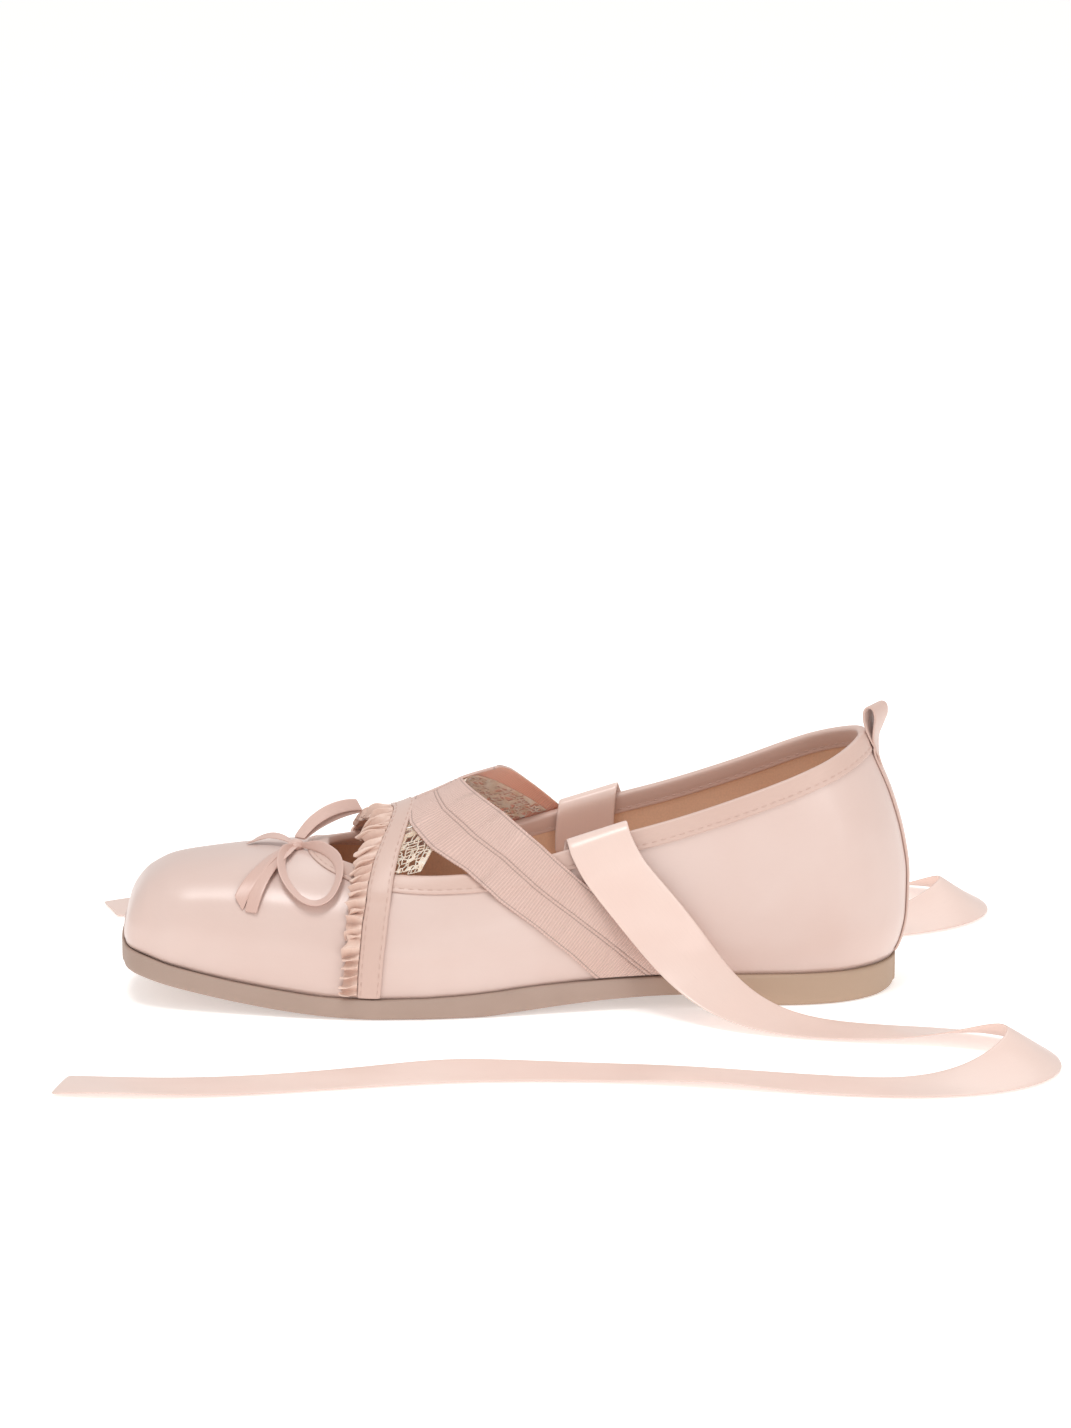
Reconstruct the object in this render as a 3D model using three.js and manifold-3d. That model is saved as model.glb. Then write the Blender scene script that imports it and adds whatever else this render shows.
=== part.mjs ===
// Square toe ballet flat, left shoe, in millimetres.
// +X runs from the toe to the heel, -Y is the lateral side, +Z is up and Z = 0 is the floor.
// The origin is the middle of the heel's flat spot on the floor.
import * as THREE from 'three';
import { mergeVertices } from 'three/addons/utils/BufferGeometryUtils.js';
import Module from 'manifold-3d';

const wasm = await Module();
wasm.setup();

// Driving dimensions
const TOE_END = -215; // front of the toe box
const HEEL_END = 33.4; // furthest back point of the counter
const WALL = 1.8; // satin, stiffener and lining together
const GAP = 0.3; // clearance between pieces that touch
const FEATHER_PULL = 2.0; // how far the wall turns in from its widest line to the sole
const SOLE_RIM = 1.6; // how far the sole stands out past the feather line
const INSOLE_THICK = 2.6;
const BINDING_THICK = 0.7;
const STRAP_THICK = 0.9; // grosgrain elastic
const BAND_THICK = 1.1; // folded satin band
const LACE_THICK = 0.5;
const RUFFLE_THICK = 0.6;
const RUFFLE_PLEATS = 21; // on each side of the instep
const PLEAT_RISE = 1.1;
const NARROW_RIBBON = 4.6; // width of the ribbon of the toe bow
const BOW_THICK = 0.7;
const TAPE_WIDTH = 12; // heel tape and pull loop
const TAPE_THICK = 0.8;
const RIBBON_WIDTH = 20; // ankle ribbons
const RIBBON_THICK = 0.6;
const CROWN_STEPS = 8; // wall facets from the widest line to the crown

function table(columns, rows) {
  return rows.map((row) => Object.fromEntries(columns.map((name, i) => [name, row[i]])));
}

// The last, station by station: half widths, feather height, height of the widest line,
// height of the crown and the roundness of the crown (2 is an ellipse, more is boxier).
const LAST = table(
  ['x', 'lateral', 'medial', 'feather', 'widest', 'crown', 'round'],
  [
    [-215, 14, 14, 19.8, 22.6, 24.6, 3],
    [-214, 19.5, 19.5, 19.1, 22.6, 29.5, 3],
    [-211.5, 23.2, 23.4, 18.3, 22.4, 34.6, 2.9],
    [-207, 26.2, 26.8, 17.0, 22, 39.4, 2.8],
    [-200, 29.0, 30.0, 14.9, 21.2, 42.7, 2.7],
    [-190, 31.8, 33.4, 12.7, 20.4, 44.4, 2.6],
    [-176, 35.2, 37.2, 10.2, 19.4, 45.9, 2.5],
    [-161, 38.8, 40.6, 8.2, 18.6, 46.9, 2.4],
    [-151, 40.8, 42.2, 7.2, 18.6, 47.2, 2.2],
    [-144, 41.8, 42.8, 7.0, 19, 48.8, 2.1],
    [-133, 42.8, 42.8, 6.8, 19.6, 55.4, 1.95],
    [-122, 42.8, 41.8, 6.9, 20.2, 59.8, 1.85],
    [-114, 42.3, 40.5, 7.2, 20.8, 63.4, 1.72],
    [-106, 41.4, 39.0, 7.6, 21.4, 67.2, 1.64],
    [-98, 40.2, 37.2, 8.2, 22.2, 69.6, 1.62],
    [-88, 38.2, 35.2, 9.1, 23, 73, 1.66],
    [-74, 35.4, 32.2, 9.9, 24.4, 84, 1.8],
    [-60, 33.0, 30.0, 10.4, 26, 92, 2.0],
    [-46, 31.4, 28.8, 10.6, 27, 102, 2.2],
    [-24, 30.4, 28.6, 10.5, 28, 112, 2.2],
    [-2, 30.0, 29.2, 10.4, 28, 112, 2.2],
    [10, 28.2, 28.0, 10.4, 28, 112, 2.2],
    [18, 25.0, 25.0, 10.4, 28, 112, 2.2],
    [25, 19.8, 19.8, 10.4, 28, 112, 2.2],
    [30, 13.6, 13.6, 10.4, 28, 112, 2.2],
    [32.6, 8.4, 8.4, 10.4, 28, 112, 2.2],
    [33.4, 5.6, 5.6, 10.4, 28, 112, 2.2],
  ],
);
const STATIONS = [
  -215, -214, -212.6, -210.4, -207, -202.5, -197, -190, -182, -173, -163.5, -156, -150.5, -146, -141,
  -136, -130, -123.5, -117, -110, -102, -93, -84, -74, -63, -51, -38, -25, -12, -2, 6, 13, 19, 24,
  28, 30.8, 32.6, 33.4,
];

// Back line of the counter: how far back the heel reaches at each height.
const HEEL_CURVE = table(
  ['z', 'x'],
  [
    [2, 29.2], [10, 30.4], [16, 32.8], [25, 34.3], [37, 34.5], [48.3, 33.0], [62.3, 29.2],
    [73.5, 24.6], [84, 19.9], [98, 14], [114, 6],
  ],
);

// Top line of the upper in side view, from the front of the throat to the heel.
const TOPLINE = table(
  ['x', 'z'],
  [
    [-151.5, 48.2], [-149.6, 46.7], [-146, 46.0], [-142, 45.7], [-136, 45.1], [-129, 44.7], [-118, 44.5],
    [-106, 45.0], [-92, 47.2], [-80, 50.6], [-62, 55.8], [-40, 61.6], [-17, 69.0], [0, 75.3],
    [12, 80.0], [24, 85.4], [40, 93],
  ],
);
// Lower edge of the binding in the same view.
const BINDING_EDGE = table(
  ['x', 'z'],
  [
    [-158.4, 48.2], [-155.5, 46.1], [-151.5, 44.4], [-147, 43.2], [-142, 42.0], [-136, 40.6], [-129, 39.3],
    [-118, 38.4], [-106, 38.8], [-92, 41.0], [-80, 44.3], [-62, 49.5], [-40, 55.2], [-17, 62.4],
    [0, 68.6], [12, 73.2], [24, 78.4], [40, 86],
  ],
);

// Bottom of the sole: toe spring, ball, arch, the notch in front of the heel and the heel.
const SOLE_BOTTOM = table(
  ['x', 'z'],
  [
    [-215, 12.4], [-213.6, 11.6], [-208, 9.8], [-201, 8.0], [-190, 5.8], [-176, 3.4], [-161, 1.5],
    [-148, 0.45], [-136, 0], [-120, 0], [-104, 0], [-92, 0.9], [-75, 2.4], [-60, 3.4], [-46, 3.9],
    [-31.4, 4.1], [-31, 6.4], [-25, 6.4], [-24.6, 0], [-8, 0], [8, 0], [18, 0], [26, 0], [30.4, 0.35],
    [32.4, 0.9], [33.4, 1.7],
  ],
);

// The lateral and medial elastic straps in side view, upper edge then lower edge, from the top down.
const STRAP_LATERAL = {
  upper: [[-108, 82], [-107, 67], [-95, 60.9], [-83, 52.7], [-68, 40], [-51, 26.7], [-29, 9]],
  lower: [[-64.6, 9], [-75, 19.5], [-86, 28.9], [-97, 36.9], [-107.5, 45.4], [-118, 50.9]],
};
const STRAP_MEDIAL = {
  upper: [
    [-102, 82], [-99.5, 73], [-95.2, 70], [-91.2, 67.4], [-82.3, 59], [-70, 47], [-51, 29.4], [-27, 9],
  ],
  lower: [[-61, 9], [-75, 21.4], [-86, 31.4], [-97, 41.5], [-107.5, 50.4], [-115.5, 56.4]],
};
// The narrow instep band in side view: its rear and front edges, from the sole up.
const BAND_REAR = [
  [-134.2, 4], [-132.9, 20], [-131.2, 33], [-129.4, 43], [-127.4, 49.5], [-125.1, 54.6], [-123.2, 58],
  [-120.6, 61.2], [-117, 64], [-112, 70], [-106, 82],
];
const BAND_FRONT = [
  [-141.6, 4], [-140.8, 18], [-139.4, 31], [-137.2, 41], [-135.4, 46.5], [-132.4, 52.1], [-128.7, 57.4],
  [-126.2, 60.8], [-123, 64], [-118, 72], [-113, 82],
];
// Front edge of the ruffle in the same view.
const RUFFLE_FRONT = [
  [-146.8, 4], [-146.2, 18], [-144.6, 31], [-142.2, 44], [-138.9, 50], [-136, 54], [-133, 57.6], [-128, 64],
  [-122, 82],
];
// The lace tapes in side view: on one side the tape follows the band, on the other the strap.
const LACE_BY_BAND = {
  front: [[-131.5, 43], [-128.6, 50], [-124, 58], [-119, 66], [-114, 82]],
  rear: [[-106, 82], [-108, 66], [-112.4, 57.5], [-117.4, 50.6], [-122.6, 43]],
};
const LACE_BY_STRAP = {
  front: [[-114, 82], [-112.6, 66], [-104, 56], [-94, 47.4], [-84, 39]],
  rear: [[-71, 43.5], [-84, 54.6], [-95, 62.4], [-104, 68], [-106, 82]],
};

// Heel tape: the teardrop of the pull loop in side view, up its back and down its front, then the
// height of the strip's two ends.
const LOOP_OUTER = [
  [26.3, 72.4], [27.4, 76.4], [28.3, 81.4], [28.5, 87.2], [27.2, 91.4], [24.3, 93.2], [21.8, 92.5],
  [20.5, 90], [20.9, 86.6], [22.1, 83.2], [23.7, 79.6], [25.2, 75.2],
];
const STRIP_BOTTOM = 11.2;
const STRIP_TOP = 75.5;

// Ankle ribbons where they lie on the shoe: each edge in side view and the distance from the form.
// The first rows are sewn inside the collar, then the ribbon turns over the top line.
const RIBBON_ON_SHOE = table(
  ['frontX', 'frontZ', 'rearX', 'rearZ', 'out'],
  [
    [-77, 36.5, -57.5, 41.5, -4.2], [-77, 44, -57.5, 49.5, -4.2], [-76.6, 50.5, -57, 56.5, -4.0],
    [-76.2, 53.4, -56.6, 59.4, -3.0], [-75.8, 54.7, -56.2, 60.8, -0.6], [-75.4, 53.9, -55.8, 60.0, 2.2],
    [-74.6, 51, -55.0, 57.2, 3.4], [-70.8, 44, -51.6, 50.4, 4.2], [-65.6, 36.4, -47.0, 43.8, 4.8],
    [-59.0, 28.4, -41.4, 37.8, 5.2], [-51.6, 20.6, -34.6, 31.2, 5.4],
  ],
);
// Ankle ribbons on the floor: the centre line and the height of each edge.
const RIBBON_FLOOR_LATERAL = table(
  ['x', 'y', 'inner', 'outer'],
  [
    [-34, -42.5, 14.5, 6.8], [-26, -48.5, 8.0, 2.4], [-16, -54.5, 2.6, 0.7], [-2, -60, 0.9, 0.7],
    [14, -63, 0.7, 0.9], [31, -66, 0.7, 2.4], [47, -71.5, 0.9, 6.0], [59, -81, 1.0, 10.2],
    [64.5, -93.5, 1.0, 12.0], [62.5, -106.5, 1.0, 10.6], [53.5, -116.5, 0.9, 7.2], [40, -122, 0.8, 3.4],
    [24, -123, 0.7, 1.0], [6, -120.6, 0.7, 0.7], [-13, -116, 1.2, 0.7], [-32, -110.8, 2.4, 0.8],
    [-52, -106, 1.4, 0.8], [-72, -102.8, 0.7, 0.7], [-93, -101.6, 0.7, 1.4], [-114, -102.6, 0.8, 2.4],
    [-135, -105.6, 0.7, 1.2], [-156, -109.8, 0.7, 0.7], [-177, -113.6, 0.8, 0.7], [-197, -115.4, 1.4, 0.9],
    [-215, -114.6, 2.2, 1.2], [-230, -111.4, 1.0, 0.8],
  ],
);
const RIBBON_FLOOR_MEDIAL = table(
  ['x', 'y', 'inner', 'outer'],
  [
    [-34, 41.5, 14.5, 6.8], [-26, 47.5, 8.0, 2.4], [-16, 53, 2.6, 0.7], [-2, 57.5, 0.9, 0.7],
    [14, 60, 0.7, 0.9], [31, 62.5, 0.7, 2.4], [47, 67.5, 0.9, 6.0], [60, 76.5, 1.0, 10.2],
    [66.5, 89, 1.0, 12.0], [65, 102, 1.0, 10.6], [56, 112, 0.9, 7.2], [42.5, 117.5, 0.8, 3.4],
    [26.5, 118.5, 0.7, 1.0], [8, 116.4, 0.7, 0.7], [-11, 112.4, 1.2, 0.7], [-31, 108, 2.4, 0.8],
    [-51, 104.6, 1.4, 0.8], [-72, 102.8, 0.7, 0.7], [-93, 103.2, 0.7, 1.4], [-114, 105.4, 0.8, 2.4],
    [-135, 108, 0.7, 1.2], [-156, 109.6, 0.7, 0.7], [-177, 109.4, 0.8, 0.7], [-197, 107, 1.4, 0.9],
    [-213, 103.4, 2.2, 1.2], [-226, 99.4, 1.0, 0.8],
  ],
);

// Toe bow: the knot, the plan of the lateral loop and the tails that lie on the vamp.
const KNOT = { x: -160.6, y: -4.6, z: 48.3, length: 5.6, width: 6.4, height: 4.4 };
const LATERAL_LOOP = [
  [-160.4, -5.0], [-162.8, -12], [-163.8, -19], [-162.8, -26], [-159.2, -31.6], [-154.6, -33.6],
  [-150.0, -32], [-147.4, -26], [-148.6, -19], [-153.0, -12],
];
const LOOP_WALL = 1.0; // thickness of the lateral loop, which stands on the vamp as a hoop
const LOOP_STAND = 3.0; // how far that hoop stands out from the vamp
const TAILS = [
  [[-162.6, -4.4], [-158.6, -3.0], [-170.6, -21.0], [-174.6, -33.4], [-179.2, -31.0], [-174.0, -19.4]],
  [[-160.8, -4.4], [-157.0, -3.4], [-166.8, -22.0], [-169.8, -35.6], [-174.6, -34.8], [-170.8, -22.4]],
  [[-161.6, -4.6], [-159.4, -0.4], [-175.6, 9.0], [-177.6, 4.8]],
];
const MEDIAL_LOOP = { length: 29.4, height: 4.8, turn: 47, rise: 13 };

function mix(a, b, share) {
  return a + (b - a) * share;
}

// Value of a column at a place between two rows of a table, as a smooth curve with no overshoot.
function at(rows, key, place, column) {
  const last = rows.length - 1;
  if (place <= rows[0][key]) return rows[0][column];
  if (place >= rows[last][key]) return rows[last][column];
  const i = rows.findIndex((row) => row[key] > place) - 1;
  const slope = (k) => (rows[k + 1][column] - rows[k][column]) / (rows[k + 1][key] - rows[k][key]);
  const tangent = (k) => {
    if (k === 0 || k === last) return slope(Math.min(k, last - 1));
    const [before, after] = [slope(k - 1), slope(k)];
    return before * after <= 0 ? 0 : (2 * before * after) / (before + after);
  };
  const step = rows[i + 1][key] - rows[i][key];
  const t = (place - rows[i][key]) / step;
  const flat = t * t * (3 - 2 * t);
  return mix(rows[i][column], rows[i + 1][column], flat)
    + step * t * (1 - t) * ((1 - t) * tangent(i) - t * tangent(i + 1));
}

const lastAt = (x, column) => at(LAST, 'x', x, column);

// The counter leans with the back line, more towards the end of the heel.
function leanHeel(x, z) {
  const share = THREE.MathUtils.smoothstep(x, -20, HEEL_END);
  return x + (at(HEEL_CURVE, 'z', z, 'x') - HEEL_END) * share;
}

// Grows the length of the form at both ends by the same distance.
function stretch(x, grow) {
  const middle = (TOE_END + HEEL_END) / 2;
  return middle + (x - middle) * (1 + (2 * grow) / (HEEL_END - TOE_END));
}

// Half width of the form at a station and a height.
function halfWidth(side, x, z, grow) {
  const full = lastAt(x, side < 0 ? 'lateral' : 'medial') + grow;
  const widest = lastAt(x, 'widest');
  if (z <= widest) {
    const share = Math.max(0, (widest - z) / (widest - lastAt(x, 'feather')));
    return full - FEATHER_PULL * share * share;
  }
  const round = lastAt(x, 'round');
  const height = Math.min(1, (z - widest) / (lastAt(x, 'crown') + grow - widest));
  return full * (1 - height ** round) ** (1 / round);
}

// One side of a section of the form, from the feather line up to the crown.
function sideWall(side, x, grow, drop) {
  const full = lastAt(x, side < 0 ? 'lateral' : 'medial') + grow;
  const [feather, widest] = [lastAt(x, 'feather'), lastAt(x, 'widest')];
  const crown = lastAt(x, 'crown') + grow;
  const power = 2 / lastAt(x, 'round');
  const wall = [];
  const widthAt = (share) => Math.max(0.4, full - FEATHER_PULL * share * share);
  if (drop > 0) wall.push([side * widthAt(1), feather - drop]);
  for (const share of [1, 0.5]) wall.push([side * widthAt(share), mix(widest, feather, share)]);
  for (let i = 0; i < CROWN_STEPS; i += 1) {
    const angle = (i / CROWN_STEPS) * (Math.PI / 2);
    const height = mix(widest, crown, Math.sin(angle) ** power);
    wall.push([side * full * Math.cos(angle) ** power, height]);
  }
  return wall;
}

function formSection(x, grow, drop) {
  const crown = [0, lastAt(x, 'crown') + grow];
  const loop = [...sideWall(-1, x, grow, drop), crown, ...sideWall(1, x, grow, drop).reverse()];
  return loop.map(([y, z]) => new THREE.Vector3(leanHeel(stretch(x, grow), z), y, z));
}

// Skins a row of closed loops, zips each end across from side to side, and turns the faces outwards.
// The second half of each loop is split the other way, so that facing sides of a thin strip match.
function loft(loops) {
  const count = loops[0].length;
  const triangles = [];
  for (let i = 0; i + 1 < loops.length; i += 1) {
    for (let j = 0; j < count; j += 1) {
      const [a, b] = [i * count + j, i * count + ((j + 1) % count)];
      if (j < Math.floor(count / 2)) triangles.push([a, b, b + count], [a, b + count, a + count]);
      else triangles.push([a, b, a + count], [b, b + count, a + count]);
    }
  }
  const end = (loops.length - 1) * count;
  for (let j = 0; 2 * j + 2 < count; j += 1) {
    const [low, next, facing, last] = [j, j + 1, count - 2 - j, count - 1 - j];
    triangles.push([low, last, next], [end + low, end + next, end + last]);
    if (facing > next) triangles.push([next, last, facing], [end + next, end + facing, end + last]);
  }
  const points = loops.flat();
  const volume = triangles.reduce((sum, [a, b, c]) => (
    sum + points[a].dot(new THREE.Vector3().crossVectors(points[b], points[c]))), 0);
  const geometry = new THREE.BufferGeometry().setFromPoints(points);
  geometry.setIndex(triangles.flatMap(([a, b, c]) => (volume > 0 ? [a, b, c] : [a, c, b])));
  return geometry;
}

function solidOf(geometry) {
  const shape = geometry.clone();
  shape.deleteAttribute('normal');
  shape.deleteAttribute('uv');
  const merged = mergeVertices(shape, 1e-4);
  const mesh = new wasm.Mesh({
    numProp: 3,
    vertProperties: new Float32Array(merged.attributes.position.array),
    triVerts: new Uint32Array(merged.index.array),
  });
  return new wasm.Manifold(mesh);
}

function geometryOf(solid) {
  const { vertProperties, triVerts } = solid.getMesh();
  const geometry = new THREE.BufferGeometry();
  geometry.setAttribute('position', new THREE.BufferAttribute(vertProperties, 3));
  geometry.setIndex(new THREE.BufferAttribute(triVerts, 1));
  geometry.computeVertexNormals();
  return geometry;
}

const forms = new Map();
// The solid form grown by a distance. With a drop it reaches below the feather line, to cut a way out.
function form(grow, drop = 0) {
  const key = `${grow.toFixed(2)} ${drop}`;
  if (!forms.has(key)) {
    forms.set(key, solidOf(loft(STATIONS.map((x) => formSection(x, grow, drop)))));
  }
  return forms.get(key);
}

// A side view outline made a prism across the shoe, between two Y values.
function sidePrism(outline, low = -90, high = 90) {
  const shape = new THREE.Shape(outline.map(([x, z]) => new THREE.Vector2(x, z)));
  const geometry = new THREE.ExtrudeGeometry(shape, { depth: high - low, bevelEnabled: false });
  geometry.rotateX(Math.PI / 2);
  geometry.translate(0, high, 0);
  return solidOf(geometry);
}

// A plan outline made an upright prism that starts above the feather line.
function planPrism(outline, holes = []) {
  const shape = new THREE.Shape(outline.map(([x, y]) => new THREE.Vector2(x, y)));
  holes.forEach((hole) => shape.holes.push(new THREE.Path(hole.map(([x, y]) => new THREE.Vector2(x, y)))));
  const geometry = new THREE.ExtrudeGeometry(shape, { depth: 60, bevelEnabled: false });
  geometry.translate(0, 0, 24);
  return solidOf(geometry);
}

const FAR_TOE = -260;
const FAR_HEEL = 70;
const SKY = 200;
// Everything in front of and below the top line, which is moved up and back by a distance.
function belowTopline(raise) {
  const line = TOPLINE.map(({ x, z }) => [x + raise, z + raise]);
  const [front, back] = [line[0], line[line.length - 1]];
  const below = [[FAR_TOE, -10], [FAR_HEEL, -10], [FAR_HEEL, back[1] + 12]];
  return sidePrism([...below, ...line.reverse(), [front[0], SKY], [FAR_TOE, SKY]]);
}
// Everything above the lower edge of the binding, moved down and forward by a distance.
function aboveBindingEdge(lower) {
  const line = BINDING_EDGE.map(({ x, z }) => [x - lower, z - lower]);
  const [front, back] = [line[0], line[line.length - 1]];
  return sidePrism([...line, [FAR_HEEL, back[1] + 12], [FAR_HEEL, SKY], [front[0], SKY]]);
}

const SKIRT = 9;
// A hollow layer of the form between two distances from its surface.
const layer = (outer, inner) => form(outer, inner > 0 ? SKIRT : 0).subtract(form(inner, SKIRT));

// Upper: one wall over the last, open at the collar and underneath.
const wallTop = -(BINDING_THICK + GAP);
const upper = form(0).subtract(form(-WALL, SKIRT)).intersect(belowTopline(wallTop));

// Binding: a channel folded over the top edge of the upper.
const bindingOuter = GAP + BINDING_THICK;
const binding = form(bindingOuter)
  .subtract(form(-WALL - bindingOuter, SKIRT))
  .intersect(belowTopline(0))
  .intersect(aboveBindingEdge(0))
  .subtract(form(GAP, SKIRT).subtract(form(-WALL - GAP, SKIRT)).intersect(belowTopline(-BINDING_THICK)));

// The dressed form is the form with its binding, which the straps lie on.
const strapInner = GAP;
const overBinding = bindingOuter + GAP;
function dressed(outer) {
  const step = outer + overBinding - strapInner;
  return form(outer, SKIRT).add(form(step).intersect(aboveBindingEdge(step)));
}
const featherBlock = sidePrism([
  ...LAST.map(({ x, feather }) => [x, feather + GAP]),
  [HEEL_END + 9, 12],
  [HEEL_END + 9, SKY],
  [TOE_END - 9, SKY],
]);
function dressedLayer(thick) {
  return dressed(strapInner + thick).subtract(dressed(strapInner)).intersect(featherBlock);
}

// Two elastic straps rise from the arch to the band and meet on the middle line of the instep.
const shiftX = (line, shift) => line.map(([x, z]) => [x + shift, z]);
const bandRearClear = shiftX(BAND_REAR, GAP);
const rearOfBand = sidePrism([
  ...bandRearClear, [FAR_HEEL, SKY], [FAR_HEEL, -10], [bandRearClear[0][0], -10],
]);
function elasticStrap({ upper: top, lower }, low, high) {
  const outline = [...top, ...lower, [-126.5, 55.6], [-126.5, 82]];
  return dressedLayer(STRAP_THICK).intersect(sidePrism(outline, low, high)).intersect(rearOfBand);
}
const strapLateral = elasticStrap(STRAP_LATERAL, -90, -GAP / 2);
const strapMedial = elasticStrap(STRAP_MEDIAL, GAP / 2, 90);

// Narrow band across the instep.
const bandBlock = sidePrism([...BAND_REAR, ...[...BAND_FRONT].reverse()]);
const instepBand = dressedLayer(BAND_THICK).intersect(bandBlock);

// Lace tapes, under the straps and over the open throat. The second passes under the first.
const aboveTopline = sidePrism([
  ...TOPLINE.map(({ x, z }) => [x, z + GAP]), [FAR_HEEL, SKY], [TOPLINE[0].x + GAP, SKY],
]);
function laceTape(bandSide, out) {
  const [low, high] = bandSide < 0 ? [-90, 0.01] : [-0.01, 90];
  const byBand = sidePrism([...LACE_BY_BAND.front, ...LACE_BY_BAND.rear], low, high);
  const byStrap = sidePrism([...LACE_BY_STRAP.front, ...LACE_BY_STRAP.rear], -high, -low);
  return layer(out, out - LACE_THICK).intersect(byBand.add(byStrap)).intersect(aboveTopline);
}
const laceLateral = laceTape(-1, overBinding - GAP);
const laceMedial = laceTape(1, overBinding - 2 * GAP - LACE_THICK);

// A point of the dressed form on a line that leans in side view: share 0 is the feather, 1 the crown.
function leaningPoint(side, share, line, out) {
  const wallShare = 0.3;
  const rows = line.map(([x, z]) => ({ x, z }));
  let z = 30;
  let x = at(rows, 'z', z, 'x');
  for (let i = 0; i < 12; i += 1) {
    const feather = lastAt(x, 'feather') + GAP;
    const angle = (Math.max(0, share - wallShare) / (1 - wallShare)) * (Math.PI / 2);
    z = share < wallShare
      ? mix(feather, lastAt(x, 'widest'), share / wallShare)
      : mix(lastAt(x, 'widest'), lastAt(x, 'crown'), Math.sin(angle) ** (2 / lastAt(x, 'round')));
    x = mix(x, at(rows, 'z', z, 'x'), 0.6);
  }
  const edge = at(BINDING_EDGE, 'x', x, 'z');
  const ramp = THREE.MathUtils.smoothstep(z, edge - 4.4, edge - 2);
  const grow = out + ramp * (overBinding - strapInner);
  const [widest, crown] = [lastAt(x, 'widest'), lastAt(x, 'crown')];
  const rise = share >= 1 ? grow : grow * ((z - widest) / (crown - widest));
  const y = share >= 1 ? 0 : side * halfWidth(side, x, z, 0) + side * grow * Math.cos(share * 1.3);
  return new THREE.Vector3(x, y, z + Math.max(0, rise));
}

// Pleated ruffle in front of the band, from the lateral feather line over the instep to the medial one.
function ruffle() {
  const rear = shiftX(BAND_FRONT, -GAP);
  const loops = [];
  const steps = RUFFLE_PLEATS * 4;
  for (let i = 0; i <= steps; i += 1) {
    const across = (2 * i) / steps - 1;
    const side = across <= 0 ? -1 : 1;
    const share = 1 - Math.abs(across);
    const up = i % 2;
    const low = strapInner + 0.1;
    const point = (line, out) => leaningPoint(side, share, line, out);
    loops.push([
      point(rear, low),
      point(rear, low + RUFFLE_THICK + 0.3 * up),
      point(RUFFLE_FRONT, low + RUFFLE_THICK + PLEAT_RISE * up),
      point(RUFFLE_FRONT, low + 0.9 * PLEAT_RISE * up),
    ]);
  }
  return loft(loops);
}

// Outsole with its low heel: one moulding whose outline follows the feather line.
const SOLE_STATIONS = [
  ...STATIONS.filter((x) => x < -34), -31.4, -31, -25, -24.6, ...STATIONS.filter((x) => x > -24),
];
const SOLE_WALL = table(['pull', 'rise'], [[2.4, 0], [0.7, 0.12], [0, 0.5], [0.1, 0.86], [0.7, 1]]);
function soleSection(x) {
  const top = lastAt(x, 'feather') - GAP;
  const bottom = at(SOLE_BOTTOM, 'x', x, 'z');
  const height = top - bottom;
  const wall = (side) => {
    const full = lastAt(x, side < 0 ? 'lateral' : 'medial') - FEATHER_PULL + SOLE_RIM;
    const inset = Math.min(1, full / 8);
    const along = leanHeel(stretch(x, GAP), 10);
    return SOLE_WALL.map(({ pull, rise }) => (
      new THREE.Vector3(along, side * (full - pull * inset), bottom + height * rise)));
  };
  return [...wall(-1), ...wall(1).reverse()];
}
const outsole = loft(SOLE_STATIONS.map(soleSection));

// Insole: a flat pad inside the wall, on top of the sole.
function insoleSection(x) {
  const low = lastAt(x, 'feather');
  const grow = -WALL - GAP - 0.2;
  const along = leanHeel(stretch(x, grow), 9);
  const wall = (side) => {
    const full = lastAt(x, side < 0 ? 'lateral' : 'medial') + grow - FEATHER_PULL;
    return [[0, 0], [0, 0.6], [0.8, 1]].map(([pull, rise]) => (
      new THREE.Vector3(along, side * (full - pull), low + INSOLE_THICK * rise)));
  };
  return [...wall(-1), ...wall(1).reverse()];
}
const INSOLE_STATIONS = STATIONS.filter((x) => x > TOE_END + 0.5 && x < HEEL_END - 1);
const insole = loft(INSOLE_STATIONS.map(insoleSection));

// Heel tape: a strip down the back seam and a pull loop above the collar.
function heelTape() {
  const half = TAPE_WIDTH / 2;
  const stripOutline = [[20, STRIP_BOTTOM], [50, STRIP_BOTTOM], [50, STRIP_TOP], [20, STRIP_TOP]];
  const stripBlock = sidePrism(stripOutline, -half, half);
  const strip = form(GAP + TAPE_THICK, SKIRT).subtract(form(GAP, SKIRT)).intersect(stripBlock);
  const stops = LOOP_OUTER.map(([x, z]) => new THREE.Vector3(x, 0, z));
  const spine = new THREE.CatmullRomCurve3(stops, false, 'centripetal');
  const outer = spine.getSpacedPoints(22);
  const inner = outer.map((point, i) => {
    const along = spine.getTangentAt(i / 22);
    return new THREE.Vector3(point.x - along.z * TAPE_THICK, 0, point.z + along.x * TAPE_THICK);
  });
  const ring = [...outer, ...inner.reverse()].map((point) => [point.x, point.z]);
  const collar = form(bindingOuter + GAP).intersect(belowTopline(GAP)).intersect(aboveBindingEdge(GAP));
  const wall = form(GAP).intersect(belowTopline(0));
  return strip.add(sidePrism(ring, -half, half)).subtract(wall).subtract(collar);
}

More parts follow.
